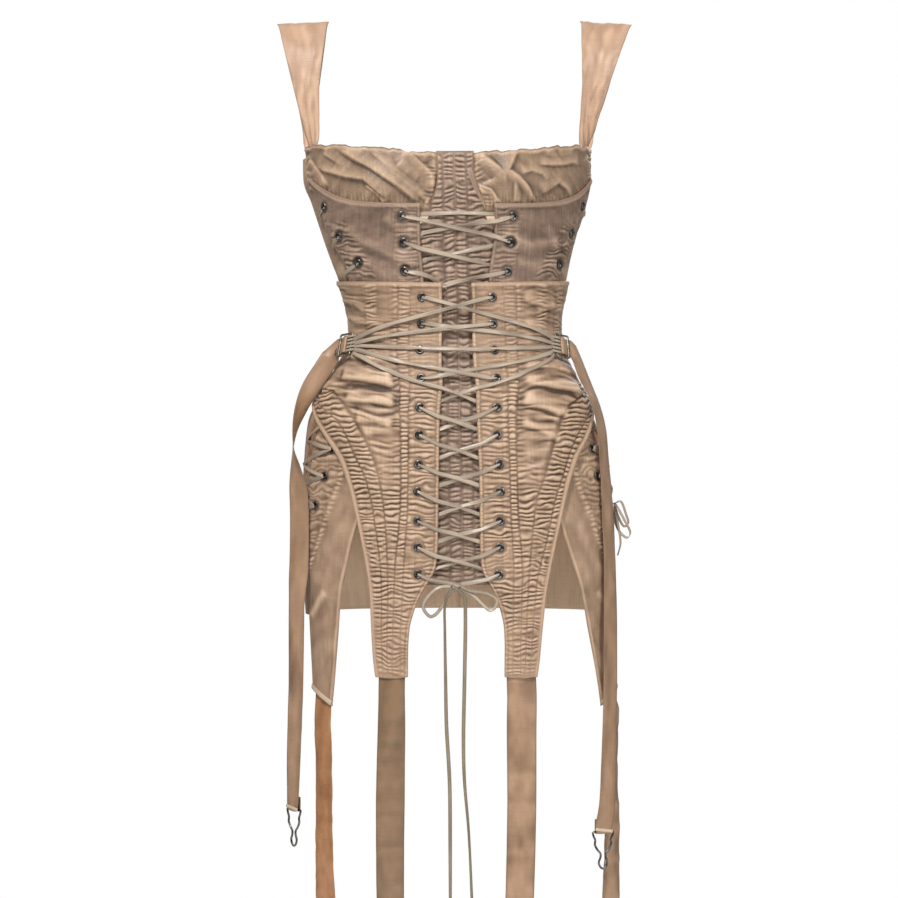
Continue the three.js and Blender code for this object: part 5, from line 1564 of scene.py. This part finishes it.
    def hips(self) -> None:
        """The lacing over the open slit at each hip."""
        backs = ((186, -452), (196, -478), (202, -504), (201, -530))
        for side in Side:
            parts = []
            fronts = ((157, -438), *HIP_EYELETS[side])
            n = side.value
            for k, ((u, z), (back_u, back_z)) in enumerate(zip(fronts, backs)):
                parts.append(self.strand(((n * u, z, CLOTH + 2.4), (n * back_u, back_z, CLOTH + 1.3)), (), k))
                if k + 1 < len(fronts):
                    next_u, next_z = fronts[k + 1]
                    returning = ((n * back_u, back_z, CLOTH + 1.8), (n * next_u, next_z, CLOTH + 2.9))
                    parts.append(self.strand(returning, (), k + 0.5))
            if side is Side.RIGHT:
                for rows in self.hip_bow:
                    line = np.array(rows, float)
                    width = np.repeat(np.array([[0.5, 0.6, 0.62]]), 31, 0)
                    parts.append(band(Route(catmull(line, 30), width), 3.2, 0.6, 4, 0.2))
            piece = Surface.joined(parts).as_object(f"lace_hip_{side.label}_cord", self.finish)
            declare(piece, Slot.LACE, f"lace_hip_{side.label}")


@dataclass
class Ribbons:
    """The four long ribbons that hang from behind the garter tabs."""

    finishes: tuple[bpy.types.Material, ...]
    thick: float = 1.0
    hangs: tuple = (
        ("garter_ribbon_front_left", -1, 67, -684, 4.3,
         ((-66.6, -720, 28, None), (-67, -830, 30, 0.05), (-68, HANG_END, 29, 0.6))),
        ("garter_ribbon_front_right", 1, 67, -684, 4.3,
         ((70, -720, 31, None), (69, -830, 30, -0.1), (65.6, HANG_END, 30, 0.1))),
        ("garter_ribbon_side_left", -1, 156, -718, -3.6,
         ((-140.6, -750, 30, None), (-138.5, -860, 30, -0.8), (-135.8, HANG_END, 30, -0.72))),
        ("garter_ribbon_side_right", 1, 180, -706, -5.2,
         ((168.2, -740, 30, None), (167, -860, 30, 0.95), (163.6, HANG_END, 30, 1.0))),
    )

    def build(self) -> None:
        """Makes, declares and reports each ribbon."""
        for number, (name, side, u, top, lift, rows) in enumerate(self.hangs):
            point, _, _, across = FIGURE.stand(side, u, top, lift)
            points, turns, wide = [point], [across], [rows[0][2]]
            for x, z, w, turn in rows:
                points.append(np.array([x, point[1], z]))
                turns.append(across if turn is None else np.array([math.cos(turn), math.sin(turn), 0]))
                wide.append(w)
            key = 2.1 * number
            z = np.linspace(points[0][2], HANG_END, 130)
            keys = np.array([p[2] for p in points])
            angle = [math.atan2(t[1], t[0]) for t in turns]
            x, y, angle, wide = (np.interp(-z, -keys, values)
                                 for values in ([p[0] for p in points], [p[1] for p in points], angle, wide))
            line = np.stack([x, y, z], 1)
            hang = ease(points[0][2] - 10, points[0][2] - 110, z)
            line[:, 1] += hang * (3.2 * np.sin(z / 47 + key) + 1.1 * np.sin(z / 21 + 2 * key))
            line[:, 0] += hang * 1.0 * np.sin(z / 60 + 1.7 * key)
            turned = angle + hang * 0.12 * np.sin(z / 70 + key)
            route = Route(line, np.stack([np.cos(turned), np.sin(turned), 0 * z], 1))

            def ripple(run: Grid, off: Grid) -> Grid:
                """Small pleats below the tab, then soft creases all the way down."""
                creases = 0.5 * GRAIN.at(off / 13 + key, run / 38) + 0.25 * GRAIN.at(off / 6, run / 12 + key)
                pleats = 0.9 * np.sin(off / 4.2 + key + run / 40) * np.exp(-run / 60)
                return pleats + creases + 0.5 * GRAIN.at(off / 45 + 3 * key, run / 8)

            surface = band(route, wide, self.thick, 16, 0.8, ripple, 1.1)
            piece = declare(surface.as_object(f"{name}_satin", self.finishes[number]), Slot.SATIN, name)


@dataclass
class Straps:
    """The two shoulder straps, gathered at both ends and broad on the shoulder."""

    finish: bpy.types.Material

    WIDTHS = (13, 18, 28, 43, 56, 38, 24, 16, 13)
    ENDS = {Side.LEFT: ((171, -143), (246, -150)), Side.RIGHT: ((171, -142), (218, -149.6))}
    PATHS = {
        Side.LEFT: ((-154, -39, -112), (-159, -36, -72), (-162, -26, -30), (-164, 0, -1), (-162, 23, -32),
                    (-161, 33, -74), (-158, 34, -114)),
        Side.RIGHT: ((143, -30, -112), (150, -34, -72), (157, -25, -30), (163, 0, -1), (158, 23, -32),
                     (153, 33, -74), (143.5, 29, -114)),
    }

    def build(self) -> None:
        """Makes, declares and reports both straps."""
        for side in Side:
            n = side.value
            before, behind = self.ENDS[side]
            front, _, _, front_across = FIGURE.stand(n, *before, -2.4)
            rear, _, _, rear_across = FIGURE.stand(n, *behind, CLOTH / 2)
            points = np.array([front, *self.PATHS[side], rear], float)
            across = np.array([front_across, (1, 0, 0.1), (1, 0, 0), (1, 0, 0), (1, 0, -0.05 * n), (1, 0, 0),
                               (1, 0, 0), (1, 0.1 * n, 0), rear_across], float)
            across[across[:, 0] < 0] *= -1
            wide = np.interp(np.linspace(0, 8, 161), np.arange(9), self.WIDTHS)
            route = Route(catmull(points, 160), catmull(across, 160))
            total = route.run()[-1]
            key = 20.0 + 30 * (n > 0)

            def crease(run: np.ndarray, off: np.ndarray) -> np.ndarray:
                """Pleats that fan out from the gathered ends to the shoulder."""
                share = off / np.maximum(np.interp(run, route.run(), wide) / 2, 1)
                ends = np.minimum(run, total - run)
                tight = mix(1.0, 0.16, ease(15, 95, ends))
                pleat = np.abs(np.sin(share * 4.4 + 1.5 * GRAIN.at(run / 46 + key, share) + key)) ** 0.6
                small = GRAIN.at(share * 3.2 + run / 34 + key, run / 13 - share * 2)
                return 1.7 * tight * pleat * mix(0.3, 1, ease(2, 16, ends)) + 0.8 * small * ease(5, 50, ends)

            surface = band(route, wide, CLOTH, 30, 0.6, crease, 1.4)
            name = f"strap_{side.label}"
            piece = declare(surface.as_object(f"{name}_satin", self.finish), Slot.SATIN, name)


@dataclass
class TabEnds:
    """Light grosgrain sewn over the end of each side tab, where its ribbon is caught."""

    finish: bpy.types.Material
    spots: tuple = ((-1, 138.8, 173.0, -730.0, -713.5, 5.6), (1, 162.2, 196.4, -730.0, -713.5, 5.6))

    def build(self) -> None:
        """Makes and declares both, as small trim that no solid stands for."""
        for side, start, end, low, high, wide in self.spots:
            route, _ = lay(((side * start, low, CLOTH + 0.9), (side * end, high, CLOTH + 0.9)))
            piece = band(route, wide, 0.7, 6, 0.3).as_object(f"tab_end_{Side(side).label}_trim", self.finish)
            declare(piece, Slot.SATIN)


@dataclass
class Suspenders:
    """A satin strap from each slide over the hip, down to a folded end that holds its clip."""

    finish: bpy.types.Material
    metal: bpy.types.Material
    piping: bpy.types.Material
    wide: float = 20.0
    thick: float = 0.9
    fold_radius: float = 2.0
    fold_back: float = 13.0
    threading: Spots = ((5, -1.8), (-6.3, -1.8), (-8.9, -0.7), (-8.9, 0.6), (-7.4, 1.0), (-5.6, 0.5), (-2.5, -0.6),
                        (-0.6, -1.0), (3, -1.05), (6, -1.1))
    routes: dict[Side, tuple] = field(default_factory=lambda: {
        Side.LEFT: (
            ((-133, -36, -363), (-0.3, 0.1, 0.93)), ((-142, -37, -377), (-0.6, -0.1, 0.78)),
            ((-153.5, -40, -395), (-0.75, -0.3, 0.55)), ((-163.5, -43, -416), (-0.6, -0.75, 0.25)),
            ((-170.5, -45, -440), (-0.2, -0.97, 0.1)), ((-172.3, -46, -462), (0.1, -1, 0)),
            ((-170, -47, -483), (0.6, -0.8, 0)), ((-166.3, -48, -512), (1, -0.2, 0)), ((-166, -48, -580), (1, 0, 0)),
            ((-168.5, -48, -624), (0.85, -0.5, 0)), ((-169.5, -48, -710), (0.8, -0.6, 0)),
            ((-172, -48, -800), (0.7, -0.7, 0)), ((-173, -48, -838), (0.62, -0.78, 0))),
        Side.RIGHT: (
            ((130, -41, -365), (0.25, 0.75, 0.6)), ((137, -42, -384), (0.5, 0.83, 0.2)),
            ((149, -45, -411), (0.45, 0.88, 0.05)), ((156, -47, -440), (0.5, 0.86, 0)),
            ((158.5, -48, -470), (0.5, 0.85, 0)), ((161.5, -49, -516), (0.6, 0.8, 0)),
            ((163.5, -51, -560), (0.62, 0.78, 0)), ((165, -54, -624), (0.7, 0.7, 0)),
            ((163.8, -60, -743), (0.76, 0.66, 0)), ((161, -64, -835), (0.85, 0.5, 0)),
            ((157.4, -64.5, -860), (0.9, 0.4, 0))),
    })
    clip_line: Spots = ((-8.5, 0), (8.5, 0), (11.8, -0.8), (11.2, -4.5), (9.2, -9), (9.6, -13.5), (6.8, -19), (2.9, -24),
                        (3.2, -28), (4.9, -32), (3.6, -37), (0, -39.5), (-3.6, -37), (-4.9, -32), (-3.2, -28),
                        (-2.9, -24), (-6.8, -19), (-9.6, -13.5), (-9.2, -9), (-11.2, -4.5), (-11.8, -0.8))

    def build(self, lacing: Lacing) -> None:
        """Makes, declares and reports both straps and their clips.

        Args:
            lacing: gives the places of the two slides.
        """
        for number, side in enumerate(Side):
            n, seat_u, seat_z = lacing.slides[number]
            key = 9.0 * n
            point, normal, up, across = lacing.seat(n, seat_u, seat_z)
            middle = point + n * across * SLIDE.reach
            rise = SLIDE.thick / 2 + 0.6 + self.thick / 2
            threaded = np.array([middle + across * n * a + normal * rise * b for a, b in self.threading])
            start = catmull(threaded, 45)
            rows = self.routes[side]
            line = catmull(np.array([r[0] for r in rows], float), 120)
            turns = unit(catmull(np.array([r[1] for r in rows], float), 120))
            last, width = line[-1], turns[-1]
            face = unit(np.cross([0, 0, -1.0], width))

            def at(forward: float, down: float) -> Grid:
                """A place before and below the strap's last point."""
                return last + face * forward + np.array([0, 0, -down])

            def ripple(run: Grid, off: Grid) -> Grid:
                """Soft creases along the strap."""
                return 0.45 * GRAIN.at(off / 11 + key, run / 44) + 0.2 * GRAIN.at(off / 6 + key, run / 14)

            r = self.fold_radius
            turn_up = ((0, 2), (0, 6), (-r * 0.3, 6 + r * 0.8), (-r, 6 + r), (-r * 1.7, 6 + r * 0.8), (-r * 2, 6),
                       (-r * 2, 6 - self.fold_back))
            fold = catmull(np.array([at(f, d) for f, d in turn_up]), 24)[3:]
            points = np.concatenate([start, line, fold])
            widths = np.concatenate([np.repeat(up[None], len(start), 0), turns,
                                     np.repeat(width[None], len(fold), 0)])
            wide = np.full(len(points), self.wide)
            wide[-len(fold):] = self.wide - 2.5
            route = Route(points, widths)
            surface = band(route, wide, self.thick, 12, 0.3, ripple, 1.2)
            name = f"suspender_{side.label}"
            piece = declare(surface.as_object(f"{name}_satin", self.finish), Slot.SATIN, name)
            self.clip(side.label, at(-r, 6), width)
            ends = np.linspace(-0.5, 0.5, 12)[:, None] * width * self.wide
            slant = np.linspace(1.5, -1.5, 12)[:, None] * np.array([0, 0, 1.0])
            trim = Route(at(self.thick * 0.9, 4.6) + ends + slant, np.repeat(np.array([[0, 0, 1.0]]), 12, 0))
            declare(band(trim, 3.4, 0.6, 4, 0.2).as_object(f"{name}_end_trim", self.piping), Slot.SATIN)

    def clip(self, label: str, bar: np.ndarray, across: np.ndarray) -> None:
        """The wire clip that hangs in the strap's fold.

        Args:
            label: the side's word.
            bar: the middle of its top wire.
            across: the direction of that wire.
        """
        line = np.array([bar + across * a + np.array([0, 0, b]) for a, b in self.clip_line])
        closed = np.concatenate([line[-2:], line, line[:3]])
        smooth = catmull(closed, (len(closed) - 1) * 6, 0.5)[12:-12 - 1]
        curve = bpy.data.curves.new("clip_wire", "CURVE")
        curve.dimensions = "3D"
        curve.bevel_depth, curve.bevel_resolution = 1.15 * MM, 3
        spline = curve.splines.new("POLY")
        spline.points.add(len(smooth) - 1)
        for spot, place in zip(spline.points, smooth):
            spot.co = (*(place * MM), 1)
        spline.use_cyclic_u = True
        name = f"suspender_clip_{label}"
        piece = linked(f"{name}_wire", curve)
        bpy.ops.object.select_all(action="DESELECT")
        piece.select_set(True)
        bpy.context.view_layer.objects.active = piece
        bpy.ops.object.convert(target="MESH")
        piece = bpy.context.active_object
        piece.data.materials.clear()
        piece.data.materials.append(self.metal)
        shade_smooth(piece.data)
        declare(piece, Slot.METAL, name)


class Metalwork:
    """The pressed eyelets and the two waist slides."""

    PROFILE = ((2.55, 1.9), (2.75, 2.35), (3.4, 2.55), (4.2, 2.42), (4.75, 2.0), (4.85, 1.6), (4.5, 1.45), (3.0, 1.5),
               (2.95, -0.2))

    def __init__(self, finishes: Finishes) -> None:
        """Keeps the finishes and shapes one eyelet and one slide."""
        self.finishes = finishes
        self.eyelet = self.shape_eyelet()
        self.slide = self.shape_slide()

    @staticmethod
    def start_fresh() -> None:
        """Leaves nothing selected."""
        bpy.ops.object.select_all(action="DESELECT")

    def shape_eyelet(self) -> bpy.types.Object:
        """One eyelet at the origin, its barrel drawn up from a ring and rolled over outwards."""
        self.start_fresh()
        bpy.ops.mesh.primitive_circle_add(vertices=28, radius=2.5 * MM, location=(0, 0, -0.2 * MM))
        ring = bpy.context.active_object
        bpy.ops.object.transform_apply(location=True)
        bpy.ops.object.mode_set(mode="EDIT")
        bpy.ops.mesh.select_mode(type="EDGE")
        bpy.ops.mesh.select_all(action="SELECT")
        radius, height = 2.5, -0.2
        for r, h in self.PROFILE:
            bpy.ops.mesh.extrude_edges_move(TRANSFORM_OT_translate={"value": (0, 0, (h - height) * MM)})
            bpy.ops.transform.resize(value=(r / radius, r / radius, 1), center_override=(0, 0, 0))
            radius, height = r, h
        bpy.ops.mesh.select_all(action="SELECT")
        bpy.ops.mesh.select_mode(type="VERT")
        bpy.ops.mesh.select_all(action="DESELECT")
        bpy.ops.mesh.select_non_manifold()
        bpy.ops.mesh.select_mode(type="EDGE")
        bpy.ops.mesh.bridge_edge_loops()
        bpy.ops.mesh.select_all(action="SELECT")
        bpy.ops.mesh.normals_make_consistent(inside=False)
        bpy.ops.object.mode_set(mode="OBJECT")
        shade_smooth(ring.data)
        return ring

    def shape_slide(self) -> bpy.types.Object:
        """One slide lying flat at the origin: a rounded frame with a bar through its middle."""
        self.start_fresh()
        bpy.ops.mesh.primitive_plane_add(size=1, location=(0, 0, -SLIDE.thick / 2 * MM))
        plate = bpy.context.active_object
        plate.scale = (SLIDE.wide * MM, SLIDE.tall * MM, 1)
        bpy.ops.object.transform_apply(location=True, scale=True)
        bpy.ops.object.mode_set(mode="EDIT")
        bpy.ops.mesh.select_mode(type="VERT")
        bpy.ops.mesh.select_all(action="SELECT")
        bpy.ops.mesh.bevel(offset=SLIDE.corner * MM, segments=4, affect="VERTICES")
        bpy.ops.mesh.select_all(action="SELECT")
        bpy.ops.mesh.inset(thickness=SLIDE.bar * MM)
        for x in (SLIDE.bar / 2, -SLIDE.bar / 2):
            bpy.ops.mesh.select_all(action="SELECT")
            bpy.ops.mesh.bisect(plane_co=(x * MM, 0, 0), plane_no=(1, 0, 0))
        bpy.ops.object.mode_set(mode="OBJECT")
        for face in plate.data.polygons:
            inside = abs(face.center.y) < 6 * MM and 2.0 * MM < abs(face.center.x) < 6.2 * MM
            face.select = inside
        bpy.ops.object.mode_set(mode="EDIT")
        bpy.ops.mesh.select_mode(type="FACE")
        bpy.ops.mesh.delete(type="FACE")
        bpy.ops.mesh.select_all(action="SELECT")
        bpy.ops.mesh.extrude_region_move(TRANSFORM_OT_translate={"value": (0, 0, SLIDE.thick * MM)})
        bpy.ops.mesh.select_all(action="SELECT")
        bpy.ops.mesh.normals_make_consistent(inside=False)
        bpy.ops.object.mode_set(mode="OBJECT")
        soft = plate.modifiers.new("rounded", "BEVEL")
        soft.width, soft.segments, soft.limit_method = 0.5 * MM, 3, "ANGLE"
        bpy.context.view_layer.objects.active = plate
        bpy.ops.object.modifier_apply(modifier="rounded")
        shade_smooth(plate.data)
        return plate

    def set_down(self, master: bpy.types.Object, name: str, seat: Seat,
                 finish: bpy.types.Material) -> bpy.types.Object:
        """A copy of a master, with its place in its mesh.

        Args:
            master: the piece that lies at the origin.
            name: the copy's name.
            seat: its point, normal, upward and sideways directions.
            finish: its material.

        Returns:
            The copy.
        """
        point, normal, up, across = seat
        mesh = master.data.copy()
        co = np.empty(len(mesh.vertices) * 3)
        mesh.vertices.foreach_get("co", co)
        co = co.reshape(-1, 3)
        placed = point * MM + co[:, :1] * across + co[:, 1:2] * up + co[:, 2:] * normal
        mesh.vertices.foreach_set("co", placed.ravel())
        mesh.materials.clear()
        mesh.materials.append(finish)
        mesh.update()
        return linked(name, mesh)

    def build(self, lacing: Lacing) -> None:
        """Sets down every eyelet and both slides.

        Args:
            lacing: gives the places of the two slides.
        """
        for side in Side:
            groups = (("bodice", BODICE_EYELETS, 0.37), ("girdle", GIRDLE_EYELETS, 0.37),
                      ("side", SIDE_EYELETS[side], 0.3), ("hip", HIP_EYELETS[side], 0.3))
            for word, spots, turn in groups:
                for k, (u, z) in enumerate(spots):
                    lifts = {"bodice": BODICE_LIFT, "girdle": GIRDLE_LIFT, "side": float(bodice_lift(u, z)),
                             "hip": 0.0}
                    name = f"eyelet_{word}_{side.label}_{k + 1}"
                    seat = FIGURE.stand(side.value, u, z, lifts[word], turn * k)
                    ring = self.set_down(self.eyelet, f"{name}_ring", seat, self.finishes.gunmetal)
                    solids = (name,) if word in ("bodice", "girdle") else ()
                    declare(ring, Slot.METAL, *solids)
        for n, u, z in lacing.slides:
            label = Side(n).label
            seat = lacing.seat(n, u, z)
            piece = self.set_down(self.slide, f"waist_slide_{label}_frame", seat, self.finishes.nickel)
            declare(piece, Slot.METAL, f"waist_slide_{label}")
        for master in (self.eyelet, self.slide):
            bpy.data.objects.remove(master)


def cloth_pieces(finishes: Finishes) -> list[ClothPiece]:
    """Every sewn piece, with the size it was cut to before it was gathered.

    Args:
        finishes: the dress's materials.

    Returns:
        The pieces in the order that they are made.
    """
    pieces: list[ClothPiece] = [
        CentreFront("centre_front_cloth", 1, finishes.bodice, (68, 640), 0.038, "gathered",
                    ("cup_left", "cup_right"), 44, 480),
    ]
    for side in Side:
        n, word = side.value, side.label
        pieces += [
            Cup(f"cup_{word}_cloth", n, finishes.cup, (190, 90), 0.013, "gathered", (f"strap_{word}",), 170, 80),
            BodiceFront(f"bodice_front_{word}_cloth", n, finishes.bodice, (140, 125), 0.0125, "stretched",
                        (f"cup_{word}",), 110, 100, BODICE_EYELETS + SIDE_EYELETS[side]),
            GirdleFront(f"girdle_front_{word}_cloth", n, finishes.girdle, (170, 560), 0.054, "gathered",
                        (f"back_{word}",), 84, 480, GIRDLE_EYELETS),
            SideHip(f"side_hip_{word}_cloth", n, finishes.girdle, (82, 345), 0.019, "hung", (f"girdle_front_{word}",),
                    44, 230, HIP_EYELETS[side]),
            # The back's inner face is painted lighter, as light over the shade inside the dress.
            Back(f"back_{word}_cloth", n, finishes.hidden, (240, 500), 0.112, "stretched", (f"strap_{word}",), 60, 120,
                 inside_light=2.0),
        ]
    return pieces


def main() -> None:
    """Builds the dress, class by class, and reports each piece."""
    logging.basicConfig(level=logging.INFO, format="%(message)s")
    finishes = Finishes()
    Camera().build()
    LaceTails().build(finishes.lace_end)
    lacing = Lacing(finishes.lace)
    lacing.bodice()
    lacing.girdle()
    lacing.hips()
    for piece in cloth_pieces(finishes):
        piece.build()
    Straps(finishes.strap).build()
    Ribbons((finishes.ribbon_shaded, finishes.ribbon, finishes.ribbon_warm, finishes.ribbon)).build()
    TabEnds(finishes.piping).build()
    Suspenders(finishes.ribbon, finishes.gunmetal, finishes.piping).build(lacing)
    Metalwork(finishes).build(lacing)
    Studio().build(finishes.paper)


if __name__ == "__main__":
    main()
